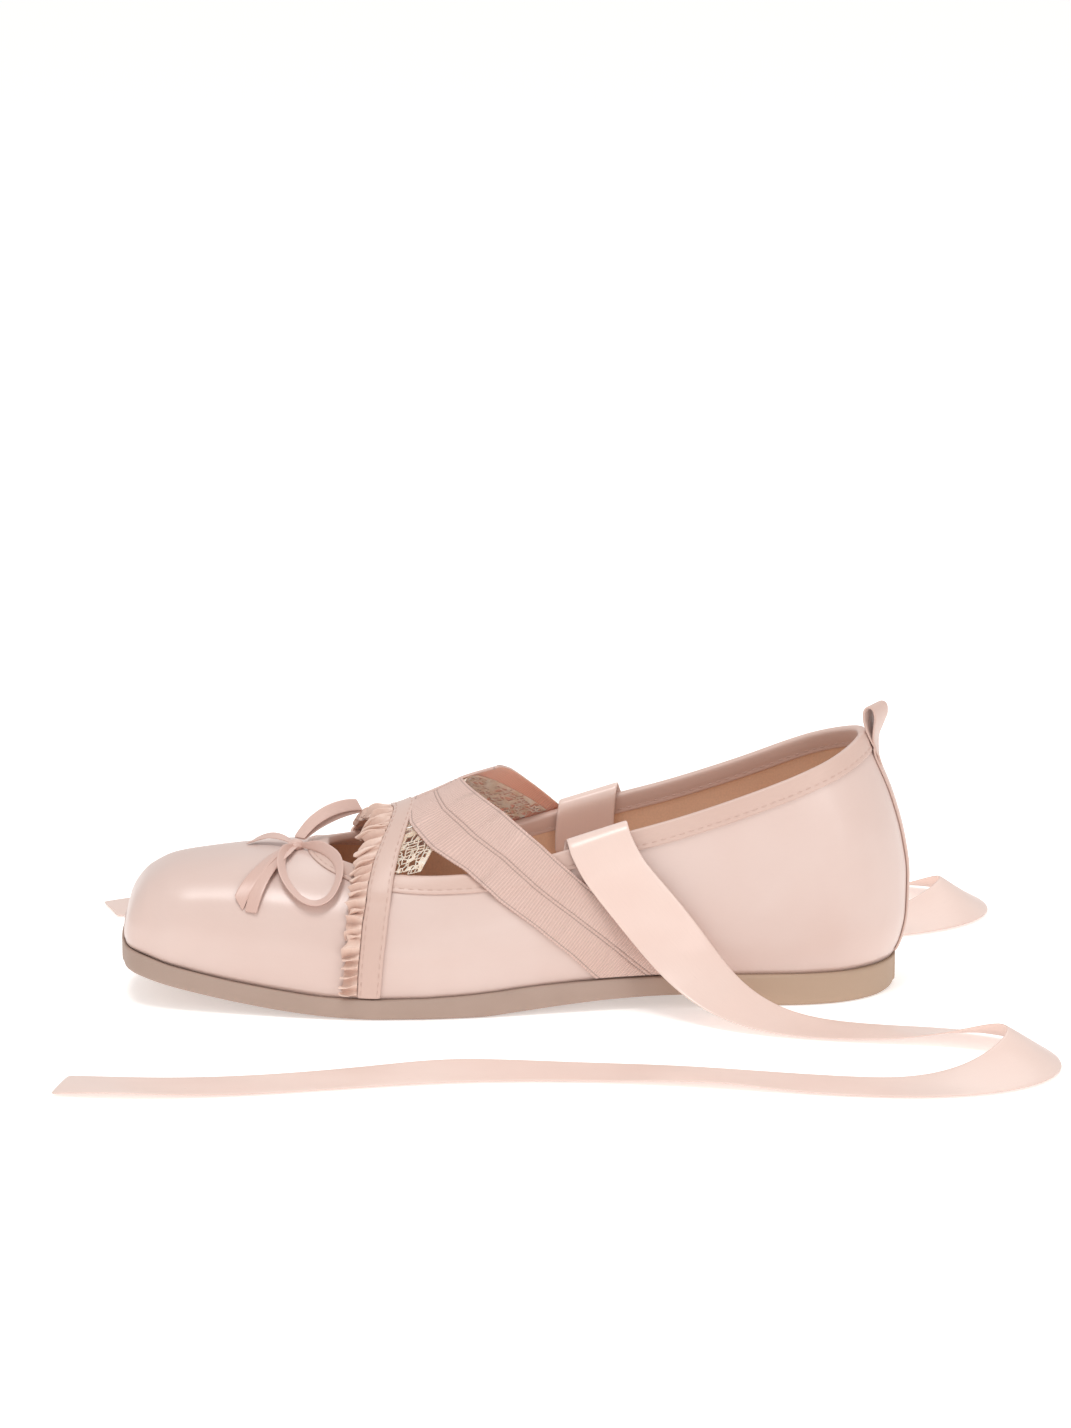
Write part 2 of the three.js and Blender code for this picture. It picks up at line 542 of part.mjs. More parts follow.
// Toe bow of narrow ribbon: knot, one loop down the lateral side, one raised loop, three tails.
function toeBow() {
  const stops = LATERAL_LOOP.map(([x, y]) => new THREE.Vector3(x, y, 0));
  const curve = new THREE.CatmullRomCurve3(stops, true, 'centripetal');
  const hoop = (shift) => curve.getSpacedPoints(24).slice(0, 24).map((point, i) => {
    const along = curve.getTangentAt(i / 24);
    return [point.x - along.y * shift, point.y + along.x * shift];
  });
  const over = overBinding + 0.3;
  const hoopBlock = planPrism(hoop(-LOOP_WALL / 2), [hoop(LOOP_WALL / 2)]);
  const loop = layer(over + LOOP_STAND, over).intersect(hoopBlock);
  const tails = TAILS.map((tail) => layer(0.4 + BOW_THICK, 0.4).intersect(planPrism(tail)));
  const knotShape = new THREE.SphereGeometry(0.5, 12, 8);
  knotShape.scale(KNOT.length, KNOT.width, KNOT.height);
  knotShape.translate(KNOT.x, KNOT.y, KNOT.z);
  const { length, height, turn, rise } = MEDIAL_LOOP;
  const oval = (shrink) => {
    const points = [];
    for (let i = 0; i < 20; i += 1) {
      const angle = (i / 20) * 2 * Math.PI;
      const taper = 0.62 + 0.38 * Math.sin((angle - Math.PI) / 2) ** 2;
      points.push(new THREE.Vector2(
        length / 2 + (length / 2 - shrink) * Math.cos(angle),
        (height / 2 - shrink) * taper * Math.sin(angle),
      ));
    }
    return points;
  };
  const ovalShape = new THREE.Shape(oval(0));
  ovalShape.holes.push(new THREE.Path(oval(BOW_THICK)));
  const raised = new THREE.ExtrudeGeometry(ovalShape, { depth: NARROW_RIBBON, bevelEnabled: false });
  raised.translate(0, 0, -NARROW_RIBBON / 2);
  raised.rotateX(Math.PI / 2);
  raised.rotateY(-THREE.MathUtils.degToRad(rise));
  raised.rotateZ(THREE.MathUtils.degToRad(turn));
  raised.translate(KNOT.x + 0.6, KNOT.y + 1.0, KNOT.z + 0.6);
  const pieces = [loop, ...tails, solidOf(raised), solidOf(knotShape)];
  const bindingSpace = form(bindingOuter + GAP).intersect(aboveBindingEdge(GAP));
  return pieces.reduce((sum, piece) => sum.add(piece)).subtract(bindingSpace).subtract(form(GAP));
}

// An ankle ribbon as one strip: its edges on the shoe, then its centre line on the floor.
function ankleRibbon(side, floorRows) {
  const onShoe = (x, z, out) => new THREE.Vector3(x, side * (halfWidth(side, x, z, 0) + out), z);
  const edges = RIBBON_ON_SHOE.map(({ frontX, frontZ, rearX, rearZ, out }) => (
    [onShoe(frontX, frontZ, out), onShoe(rearX, rearZ, out)]));
  floorRows.forEach(({ x, y, inner, outer }, i) => {
    const before = floorRows[Math.max(0, i - 1)];
    const after = floorRows[Math.min(floorRows.length - 1, i + 1)];
    const heading = new THREE.Vector2(after.x - before.x, after.y - before.y).normalize();
    const rise = (outer - inner) / RIBBON_WIDTH;
    const reach = (RIBBON_WIDTH / 2) * Math.sqrt(1 - rise * rise);
    const across = new THREE.Vector2(-heading.y * side, heading.x * side).multiplyScalar(-reach);
    edges.push([
      new THREE.Vector3(x - across.x, y - across.y, outer),
      new THREE.Vector3(x + across.x, y + across.y, inner),
    ]);
  });
  const loops = edges.map(([a, b], i) => {
    const before = edges[Math.max(0, i - 1)];
    const after = edges[Math.min(edges.length - 1, i + 1)];
    const along = new THREE.Vector3().addVectors(after[0], after[1]).sub(before[0]).sub(before[1]);
    const across = new THREE.Vector3().subVectors(b, a);
    const normal = along.cross(across).normalize().multiplyScalar(RIBBON_THICK / 2);
    return [
      a.clone().add(normal), b.clone().add(normal), b.clone().sub(normal), a.clone().sub(normal),
    ];
  });
  return loft(loops);
}

const satin = { color: 0xe6ccc2, roughness: 0.45, metalness: 0 };
const grosgrain = { color: 0xd8b9ae, roughness: 0.8, metalness: 0 };
const lace = { color: 0xcbb5a3, roughness: 0.7, metalness: 0 };
const ribbonSatin = { color: 0xf0dad0, roughness: 0.3, metalness: 0 };
const rubber = { color: 0xb5a596, roughness: 0.7, metalness: 0 };
const lining = { color: 0xc49a82, roughness: 0.75, metalness: 0 };

const shoe = new THREE.Group();
function addPiece(name, shape, finish) {
  const geometry = shape.isBufferGeometry ? shape : geometryOf(shape);
  const mesh = new THREE.Mesh(geometry, new THREE.MeshStandardMaterial(finish));
  mesh.name = name;
  shoe.add(mesh);
}

addPiece('outsole', outsole, rubber);
addPiece('insole', insole, lining);
addPiece('upper', upper, satin);
addPiece('topline_binding', binding, satin);
addPiece('instep_band', instepBand, satin);
addPiece('instep_ruffle', ruffle(), satin);
addPiece('elastic_strap_lateral', strapLateral, grosgrain);
addPiece('elastic_strap_medial', strapMedial, grosgrain);
addPiece('lace_tape_lateral', laceLateral, lace);
addPiece('lace_tape_medial', laceMedial, lace);
addPiece('toe_bow', toeBow(), ribbonSatin);
addPiece('heel_tape', heelTape(), satin);
addPiece('ankle_ribbon_lateral', ankleRibbon(-1, RIBBON_FLOOR_LATERAL), ribbonSatin);
addPiece('ankle_ribbon_medial', ankleRibbon(1, RIBBON_FLOOR_MEDIAL), ribbonSatin);

export default shoe;
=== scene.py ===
# Square toe ballet flat, left shoe: satin, elastic, lace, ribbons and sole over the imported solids.
# Shapes are worked out in millimetres in the shoe's frame and scaled to metres at the end.
import math
import random

import bmesh
import bpy
import numpy as np
from mathutils import Matrix, Vector
from mathutils.bvhtree import BVHTree
from mathutils.interpolate import poly_3d_calc


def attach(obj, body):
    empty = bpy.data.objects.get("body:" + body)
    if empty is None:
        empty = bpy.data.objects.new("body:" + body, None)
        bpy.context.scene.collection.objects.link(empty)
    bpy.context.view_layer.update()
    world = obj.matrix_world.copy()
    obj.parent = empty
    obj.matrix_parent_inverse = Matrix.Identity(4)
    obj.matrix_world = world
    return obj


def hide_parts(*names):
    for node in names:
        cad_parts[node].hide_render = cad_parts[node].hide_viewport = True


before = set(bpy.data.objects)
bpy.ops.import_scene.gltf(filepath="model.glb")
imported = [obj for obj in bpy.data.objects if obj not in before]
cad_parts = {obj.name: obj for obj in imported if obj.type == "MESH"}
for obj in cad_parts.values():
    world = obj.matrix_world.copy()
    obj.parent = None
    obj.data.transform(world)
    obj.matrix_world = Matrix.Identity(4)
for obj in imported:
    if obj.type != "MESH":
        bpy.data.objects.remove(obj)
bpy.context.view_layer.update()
mm = 0.001

# Camera at the photograph's angle
view = {
    "target": (-0.0841, 0.0, 0.089), "elevation": 12.0, "yaw": 2.0, "distance": 1.5, "lens": 118.9,
    "sensor": 36, "farthest": 60,
}


def addObject(name, data):
    made = bpy.data.objects.new(name, data)
    bpy.context.scene.collection.objects.link(made)
    return made


def addCamera():
    elevation, yaw = math.radians(view["elevation"]), math.radians(view["yaw"])
    level = math.cos(elevation)
    back = Vector((-math.sin(yaw) * level, -math.cos(yaw) * level, math.sin(elevation)))
    camera = bpy.data.cameras.new("camera")
    camera.lens = view["lens"]
    camera.sensor_width = view["sensor"]
    camera.clip_end = view["farthest"]
    holder = addObject("camera", camera)
    holder.location = Vector(view["target"]) + back * view["distance"]
    holder.rotation_euler = back.to_track_quat("Z", "Y").to_euler()
    bpy.context.scene.camera = holder


addCamera()
print("camera is in place")


# The last, station by station, as the solids have it
last = {
    "toe": -215.0,
    "heel": 33.4,
    "pull": 2.0,  # how far the wall turns in from its widest line to the sole
    "wallShare": 0.3,  # share of a section's run that lies below the widest line
    "leanFrom": -20.0,  # where the back line starts to lean the sections
    "bulge": 0.5,  # how far the ends swell as they close
    "axis": 20.0,  # height of the middle line that the faces look away from
    "samples": 121,  # points up a section before they are spaced again
    "closing": 6,  # columns in which an end closes
    "columns": ("x", "lateral", "medial", "feather", "widest", "crown", "round"),
    "rows": [
        (-215, 14, 14, 19.8, 22.6, 24.6, 3), (-214, 19.5, 19.5, 19.1, 22.6, 29.5, 3),
        (-211.5, 23.2, 23.4, 18.3, 22.4, 34.6, 2.9), (-207, 26.2, 26.8, 17.0, 22, 39.4, 2.8),
        (-200, 29.0, 30.0, 14.9, 21.2, 42.7, 2.7), (-190, 31.8, 33.4, 12.7, 20.4, 44.4, 2.6),
        (-176, 35.2, 37.2, 10.2, 19.4, 45.9, 2.5), (-161, 38.8, 40.6, 8.2, 18.6, 46.9, 2.4),
        (-151, 40.8, 42.2, 7.2, 18.6, 47.2, 2.2), (-144, 41.8, 42.8, 7.0, 19, 48.8, 2.1),
        (-133, 42.8, 42.8, 6.8, 19.6, 55.4, 1.95), (-122, 42.8, 41.8, 6.9, 20.2, 59.8, 1.85),
        (-114, 42.3, 40.5, 7.2, 20.8, 63.4, 1.72), (-106, 41.4, 39.0, 7.6, 21.4, 67.2, 1.64),
        (-98, 40.2, 37.2, 8.2, 22.2, 69.6, 1.62), (-88, 38.2, 35.2, 9.1, 23, 73, 1.66),
        (-74, 35.4, 32.2, 9.9, 24.4, 84, 1.8), (-60, 33.0, 30.0, 10.4, 26, 92, 2.0),
        (-46, 31.4, 28.8, 10.6, 27, 102, 2.2), (-24, 30.4, 28.6, 10.5, 28, 112, 2.2),
        (-2, 30.0, 29.2, 10.4, 28, 112, 2.2), (10, 28.2, 28.0, 10.4, 28, 112, 2.2),
        (18, 25.0, 25.0, 10.4, 28, 112, 2.2), (25, 19.8, 19.8, 10.4, 28, 112, 2.2),
        (30, 13.6, 13.6, 10.4, 28, 112, 2.2), (32.6, 8.4, 8.4, 10.4, 28, 112, 2.2),
        (33.4, 5.6, 5.6, 10.4, 28, 112, 2.2),
    ],
    "heelCurve": [
        (2, 29.2), (10, 30.4), (16, 32.8), (25, 34.3), (37, 34.5), (48.3, 33.0), (62.3, 29.2),
        (73.5, 24.6), (84, 19.9), (98, 14), (114, 6),
    ],
}
# Top line of the upper in side view, from the front of the throat to the heel
topline = [
    (-151.5, 48.2), (-149.6, 46.7), (-146, 46.0), (-142, 45.7), (-136, 45.1), (-129, 44.7), (-118, 44.5),
    (-106, 45.0), (-92, 47.2), (-80, 50.6), (-62, 55.8), (-40, 61.6), (-17, 69.0), (0, 75.3),
    (12, 80.0), (24, 85.4), (40, 93),
]


# A smooth curve through rows of (place, value) with no overshoot, as evenly spaced samples
def smoothCurve(rows, step=0.25):
    places, values = [np.array(column, float) for column in zip(*rows)]
    slopes = np.diff(values) / np.diff(places)
    before, after = slopes[:-1], slopes[1:]
    total = np.where(before * after > 0, before + after, 1.0)
    inner = np.where(before * after > 0, 2 * before * after / total, 0.0)
    tangents = np.concatenate([slopes[:1], inner, slopes[-1:]])
    spots = np.arange(places[0], places[-1] + step, step).clip(places[0], places[-1])
    i = np.searchsorted(places, spots, side="right").clip(1, len(places) - 1) - 1
    width = places[i + 1] - places[i]
    t = (spots - places[i]) / width
    flat = t * t * (3 - 2 * t)
    bend = width * t * (1 - t) * ((1 - t) * tangents[i] - t * tangents[i + 1])
    return spots, values[i] + (values[i + 1] - values[i]) * flat + bend


def curveReader(rows):
    spots, values = smoothCurve(rows)
    return lambda place: np.interp(place, spots, values)


lastAt = {
    name: curveReader([(row[0], row[k]) for row in last["rows"]])
    for k, name in enumerate(last["columns"]) if k > 0
}
heelCurveAt = curveReader(last["heelCurve"])
toplineAt = curveReader(topline)


def lineReader(points):
    heights = [z for x, z in points]
    places = [x for x, z in points]
    return lambda z: np.interp(z, heights, places)


def sideName(side):
    return "lateral" if side < 0 else "medial"


# The counter leans with the back line, more towards the end of the heel
def leanHeel(x, z):
    t = np.clip((x - last["leanFrom"]) / (last["heel"] - last["leanFrom"]), 0, 1)
    return x + (heelCurveAt(z) - last["heel"]) * t * t * (3 - 2 * t)


# Half width of the form in side view, for the stretch without lean
def halfWidth(side, x, z):
    full = lastAt[sideName(side)](x)
    widest, round_ = lastAt["widest"](x), lastAt["round"](x)
    if z <= widest:
        share = (widest - z) / (widest - lastAt["feather"](x))
        return full - last["pull"] * share * share
    height = min(1.0, (z - widest) / (lastAt["crown"](x) - widest))
    return full * (1 - height ** round_) ** (1 / round_)


# Half width and height up one side of a section: share 0 is the feather line, 1 the crown
def sectionAt(x, side, shares):
    full = lastAt[sideName(side)](x)
    feather, widest, crown = [lastAt[name](x) for name in ("feather", "widest", "crown")]
    power = 2 / lastAt["round"](x)
    low = np.clip(shares / last["wallShare"], 0, 1)
    angle = np.clip((shares - last["wallShare"]) / (1 - last["wallShare"]), 0, 1) * math.pi / 2
    wallWide, wallHigh = full - last["pull"] * (1 - low) ** 2, feather + (widest - feather) * low
    archHigh = widest + (crown - widest) * np.sin(angle).clip(0, 1) ** power
    wide = np.where(angle > 0, full * np.cos(angle).clip(0, 1) ** power, wallWide)
    return wide, np.where(angle > 0, archHigh, wallHigh)


# The last bit of the toe and of the heel bulges a little as it closes
def closingBulge(x, narrow):
    reach = last["bulge"] * math.sqrt(max(0.0, 1 - narrow * narrow))
    return reach if x > 0 else -reach


# Evenly spaced points up one side of a section, from the feather line to a limit or the crown
def sideRows(column, side, count, limit=None):
    x, narrow = column
    wide, high = sectionAt(x, side, np.linspace(0, 1, last["samples"]))
    places = leanHeel(x, high) + closingBulge(x, narrow)
    line = np.stack([places, side * wide * narrow, high], axis=1)
    if limit is not None:
        over = high - limit(places)
        above = np.nonzero(over > 0)[0]
        if len(above) and above[0] > 0:
            k = above[0]
            share = over[k - 1] / (over[k - 1] - over[k])
            line = np.concatenate([line[:k], [line[k - 1] + (line[k] - line[k - 1]) * share]])
    return evenly(line, count)


# How far along a line each of its points lies
def runAlong(line):
    return np.concatenate([[0], np.cumsum(np.linalg.norm(np.diff(line, axis=0), axis=1))])


def evenly(line, count):
    steps = runAlong(line)
    spots = np.linspace(0, steps[-1], count)
    return np.stack([np.interp(spots, steps, line[:, k]) for k in range(line.shape[1])], axis=1)


# Columns along the last, closer together where it turns
def formColumns(stops):
    closing = [math.cos(k * math.pi / 2 / last["closing"]) for k in range(1, last["closing"] + 1)]
    closing[-1] = 0.0
    columns = [(last["toe"], share) for share in reversed(closing)]
    for start, end, count in stops:
        columns += [(x, 1) for x in np.linspace(start, end, count, endpoint=False)]
    columns.append((last["heel"], 1))
    return columns + [(last["heel"], share) for share in closing]


def fromAxis(point):
    return point - Vector((point.x, 0, last["axis"]))


def upwards(point):
    return Vector((0, 0, 1))


def faceOutwards(bm, outward):
    bm.normal_update()
    facing = sum(f.normal.dot(outward(f.calc_center_median())) * f.calc_area() for f in bm.faces)
    if facing < 0:
        bmesh.ops.reverse_faces(bm, faces=bm.faces)


# Two grids, one for each side of the shoe, joined where they meet
def sideGrids(columns, rows, limit=None):
    bm = bmesh.new()
    uvLayer = bm.loops.layers.uv.new("cloth")
    for side in (-1, 1):
        lines = [sideRows(column, side, rows + 1, limit) for column in columns]
        made = bmesh.ops.create_grid(bm, x_segments=len(columns) - 1, y_segments=rows, size=0.5)
        for vert in made["verts"]:
            i = round((vert.co.x + 0.5) * (len(columns) - 1))
            vert.co = lines[i][round((vert.co.y + 0.5) * rows)]
    bmesh.ops.remove_doubles(bm, verts=bm.verts, dist=0.02)
    for face in bm.faces:
        for loop in face.loops:
            loop[uvLayer].uv = (loop.vert.co.x * mm, (loop.vert.co.z + abs(loop.vert.co.y)) * mm)
    bmesh.ops.recalc_face_normals(bm, faces=bm.faces)
    faceOutwards(bm, fromAxis)
    return bm


formStops = [
    (-215, -207, 9), (-207, -190, 10), (-190, -152, 20), (-152, -20, 66), (-20, 18, 20), (18, 33.4, 16),
]


def buildForm():
    bm = sideGrids(formColumns(formStops), 44)
    bm.verts.ensure_lookup_table()
    bm.faces.ensure_lookup_table()
    bm.normal_update()
    points = [v.co.copy() for v in bm.verts]
    normals = [v.normal.copy() for v in bm.verts]
    faces = [[v.index for v in f.verts] for f in bm.faces]
    tree = BVHTree.FromPolygons(points, faces)
    bm.free()
    return {"points": points, "normals": normals, "faces": faces, "tree": tree}


form = buildForm()


def nearestOnForm(point):
    place, _, index, _ = form["tree"].find_nearest(Vector(point))
    corners = form["faces"][index]
    weights = poly_3d_calc([form["points"][i] for i in corners], place)
    smooth = Vector()
    for i, weight in zip(corners, weights):
        smooth += form["normals"][i] * weight
    return place, smooth.normalized()


def lifted(point, out):
    place, normal = nearestOnForm(point)
    return place + normal * out


print("the last is shaped")


def addMesh(bm, name, materials):
    mesh = bpy.data.meshes.new(name)
    bm.to_mesh(mesh)
    bm.free()
    for material in materials:
        mesh.materials.append(material)
    return addObject(name, mesh)


# Every piece gets its place, finish and body, and the solids that it stands for are hidden
def addPiece(bm, name, finishes, nodes=(), thick=0.0, smoothLevels=0, offset=-1.0, even=True):
    bmesh.ops.scale(bm, vec=(mm, mm, mm), verts=bm.verts)
    piece = addMesh(bm, name, [cloth[finish] for finish in finishes])
    piece.data.shade_smooth()
    if thick:
        solid = piece.modifiers.new("thickness", "SOLIDIFY")
        solid.thickness = thick * mm
        solid.offset = offset
        solid.use_even_offset = even
        solid.use_quality_normals = True
        solid.material_offset = len(finishes) - 1
    if smoothLevels:
        fine = piece.modifiers.new("smooth", "SUBSURF")
        fine.levels = smoothLevels
        fine.render_levels = smoothLevels
    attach(piece, "root")
    if nodes:
        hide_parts(*nodes)
    return piece


# A grid of cells whose points go where place(u, v) puts them, with a UV map in real lengths
def clothGrid(along, across, place, size, wrap=False, chart=None):
    bm = bmesh.new()
    uvLayer = bm.loops.layers.uv.new("cloth")
    bmesh.ops.create_grid(bm, x_segments=along, y_segments=across, size=0.5)
    shares = {vert: (vert.co.x + 0.5, vert.co.y + 0.5) for vert in bm.verts}
    for vert, (u, v) in shares.items():
        vert.co = place(u, v)
        spot = chart[round(u * along), round(v * across)] if chart else (u * size[0], v * size[1])
        for loop in vert.link_loops:
            loop[uvLayer].uv = (spot[0] * mm, spot[1] * mm)
    if wrap:
        bmesh.ops.remove_doubles(bm, verts=bm.verts, dist=0.01)
    return bm


# A smooth line through chosen points, evenly spaced again
def throughPoints(points, count):
    points = np.array(points, float)
    padded = np.concatenate([[2 * points[0] - points[1]], points, [2 * points[-1] - points[-2]]])
    parts = []
    for i in range(1, len(padded) - 2):
        t = np.linspace(0, 1, 12, endpoint=False)[:, None]
        p0, p1, p2, p3 = padded[i - 1:i + 3]
        bend, twist = 2 * p0 - 5 * p1 + 4 * p2 - p3, 3 * p1 - p0 - 3 * p2 + p3
        parts.append(0.5 * (2 * p1 + (p2 - p0) * t + bend * t * t + twist * t ** 3))
    return evenly(np.concatenate(parts + [points[-1:]]), count)


def rowAt(line, u):
    spot = u * (len(line) - 1)
    i = min(int(spot), len(line) - 2)
    return line[i] + (line[i + 1] - line[i]) * (spot - i)


def easeIn(value, low, high):
    t = min(1.0, max(0.0, (value - low) / (high - low)))
    return t * t * (3 - 2 * t)


# Materials: each input of a node is either set or linked
def feed(tree, node, inputs):
    for name, value in inputs.items():
        if isinstance(value, bpy.types.NodeSocket):
            tree.links.new(value, node.inputs[name])
        else:
            node.inputs[name].default_value = value
    return node


def addNode(tree, kind, inputs, **settings):
    node = tree.nodes.new("ShaderNode" + kind)
    for name, value in settings.items():
        setattr(node, name, value)
    return feed(tree, node, inputs)


def mathNode(tree, operation, first, second=0.0):
    return addNode(tree, "Math", {0: first, 1: second}, operation=operation).outputs[0]


def mixed(tree, amount, first, second, **settings):
    inputs = {"Factor": amount, "A": first, "B": second}
    return addNode(tree, "Mix", inputs, data_type="RGBA", **settings).outputs["Result"]


def nodeGroup(name, inputs, outputs):
    group = bpy.data.node_groups.new(name, "ShaderNodeTree")
    for label, kind, value in inputs:
        socket = group.interface.new_socket(label, in_out="INPUT", socket_type="NodeSocket" + kind)
        if value is not None:
            socket.default_value = value
    for label, kind in outputs:
        group.interface.new_socket(label, in_out="OUTPUT", socket_type="NodeSocket" + kind)
    start, end = group.nodes.new("NodeGroupInput"), group.nodes.new("NodeGroupOutput")
    return group, start.outputs, end.inputs


# Threads of a woven cloth: long floats one way and fine threads the other way
def makeWeaveGroup():
    group, given, made = nodeGroup(
        "clothWeave",
        [("Vector", "Vector", None), ("Threads Along", "Float", 300), ("Threads Across", "Float", 2400)],
        [("Height", "Float")],
    )
    parts = addNode(group, "SeparateXYZ", {0: given["Vector"]}).outputs
    along = mathNode(group, "MULTIPLY", parts[0], given["Threads Along"])
    across = mathNode(group, "MULTIPLY", parts[1], given["Threads Across"])
    joined = addNode(group, "CombineXYZ", {0: along, 1: across})
    grain = addNode(group, "TexNoise", {"Vector": joined.outputs[0], "Scale": 1.0, "Detail": 2.0})
    group.links.new(grain.outputs["Fac"], made["Height"])
    return group


# Soft large patches between two tones
def makeToneGroup():
    group, given, made = nodeGroup(
        "softTone",
        [("Vector", "Vector", None), ("Tone", "Color", None), ("Shade", "Color", None),
         ("Scale", "Float", 20.0), ("Amount", "Float", 0.5)],
        [("Color", "Color")],
    )
    patches = addNode(group, "TexNoise", {"Vector": given["Vector"], "Scale": given["Scale"], "Detail": 3})
    spread = addNode(group, "MapRange", {"Value": patches.outputs["Fac"], "From Min": 0.3, "From Max": 0.7})
    share = mathNode(group, "MULTIPLY", spread.outputs["Result"], given["Amount"])
    group.links.new(mixed(group, share, given["Tone"], given["Shade"]), made["Color"])
    return group


# Cross ribs of an elastic, straight across its length
def makeRibGroup():
    group, given, made = nodeGroup(
        "crossRibs", [("Vector", "Vector", None), ("Pitch", "Float", 0.001)], [("Height", "Float")],
    )
    parts = addNode(group, "SeparateXYZ", {0: given["Vector"]})
    turns = mathNode(group, "DIVIDE", parts.outputs[0], given["Pitch"])
    wave = mathNode(group, "SINE", mathNode(group, "MULTIPLY", turns, 2 * math.pi))
    group.links.new(mathNode(group, "ADD", mathNode(group, "MULTIPLY", wave, 0.5), 0.5), made["Height"])
    return group


weaveGroup, toneGroup, ribGroup = makeWeaveGroup(), makeToneGroup(), makeRibGroup()


def linear(code):
    parts = [int(code[i:i + 2], 16) / 255 for i in (0, 2, 4)]
    return tuple(c / 12.92 if c <= 0.04045 else ((c + 0.055) / 1.055) ** 2.4 for c in parts) + (1.0,)


def newMaterial(name):
    material = bpy.data.materials.new(name)
    material.use_nodes = True
    return material, material.node_tree, material.node_tree.nodes["Principled BSDF"]


def tonePatches(tree, place, look):
    return addNode(tree, "Group", {
        "Vector": place, "Tone": linear(look["tone"]), "Shade": linear(look["shade"]),
        "Scale": look["patches"], "Amount": look["amount"],
    }, node_tree=toneGroup).outputs["Color"]


def spreadAround(tree, value, middle, spread):
    inputs = {"Value": value, "To Min": middle - spread, "To Max": middle + spread}
    return addNode(tree, "MapRange", inputs).outputs["Result"]


def multiplied(tree, color, value, amount):
    return mixed(tree, amount, color, value, blend_type="MULTIPLY")


# Painted shade: a darker tone where the piece's own depth attribute says that a fold is deep
def paintFoldShade(tree, color, code, amount):
    depth = addNode(tree, "Attribute", {}, attribute_name="depth").outputs["Fac"]
    return mixed(tree, mathNode(tree, "MULTIPLY", depth, amount), color, linear(code))


# Ribs across an elastic, and dark lines along its seams as painted shade in the seam grooves
def ribbed(tree, place, height, color, look):
    ribs = addNode(tree, "Group", {"Vector": place, "Pitch": look["pitch"] * mm}, node_tree=ribGroup)
    rise = mathNode(tree, "MULTIPLY", ribs.outputs["Height"], look["height"])
    color = multiplied(tree, color, ribs.outputs["Height"], look["tone"])
    across = addNode(tree, "SeparateXYZ", {0: place}).outputs[1]
    # Painted shade: the colour is darker along each seam groove
    for spot in look["lines"]:
        away = mathNode(tree, "ABSOLUTE", mathNode(tree, "SUBTRACT", across, spot * mm))
        line = mathNode(tree, "LESS_THAN", away, look["lineWidth"] * mm)
        color = multiplied(tree, color, mathNode(tree, "SUBTRACT", 1.0, line), look["seamShadeTone"])
    return mathNode(tree, "ADD", rise, height), color


# What a cloth has unless its look says otherwise
plainCloth = {
    "patches": 28.0, "amount": 0.6, "threadTone": 0.12, "roughSpread": 0.05, "relief": 0.00008,
    "specular": 0.5, "sheen": 0.2, "sheenRough": 0.4, "anisotropic": 0.0, "foldShadePaint": None, "ribs": None,
    "through": 0.0, "throughRadius": (1.0, 0.7, 0.6), "throughScale": 0.002,
}


# A cloth: two tones in soft patches, and threads that follow the piece's own UV map
def clothMaterial(name, given):
    look = {**plainCloth, **given}
    material, tree, shader = newMaterial(name)
    coordinates = addNode(tree, "TexCoord", {}).outputs
    along, across = look["threads"]
    inputs = {"Vector": coordinates["UV"], "Threads Along": along, "Threads Across": across}
    height = addNode(tree, "Group", inputs, node_tree=weaveGroup).outputs["Height"]
    rough = spreadAround(tree, height, look["rough"], look["roughSpread"])
    color = multiplied(tree, tonePatches(tree, coordinates["Object"], look), height, look["threadTone"])
    # Painted shade in the troughs of deep folds, where a look asks for it
    if look["foldShadePaint"]:
        color = paintFoldShade(tree, color, *look["foldShadePaint"])
    if look["ribs"]:
        height, color = ribbed(tree, coordinates["UV"], height, color, look["ribs"])
    bump = addNode(tree, "Bump", {"Strength": look["bump"], "Distance": look["relief"], "Height": height})
    feed(tree, shader, {
        "Base Color": color, "Roughness": rough, "Normal": bump.outputs["Normal"],
        "Specular IOR Level": look["specular"], "Anisotropic": look["anisotropic"],
        "Sheen Weight": look["sheen"], "Sheen Roughness": look["sheenRough"],
        # Thin cloth lets some of the light through
        "Subsurface Weight": look["through"], "Subsurface Radius": look["throughRadius"],
        "Subsurface Scale": look["throughScale"],
    })
    return material


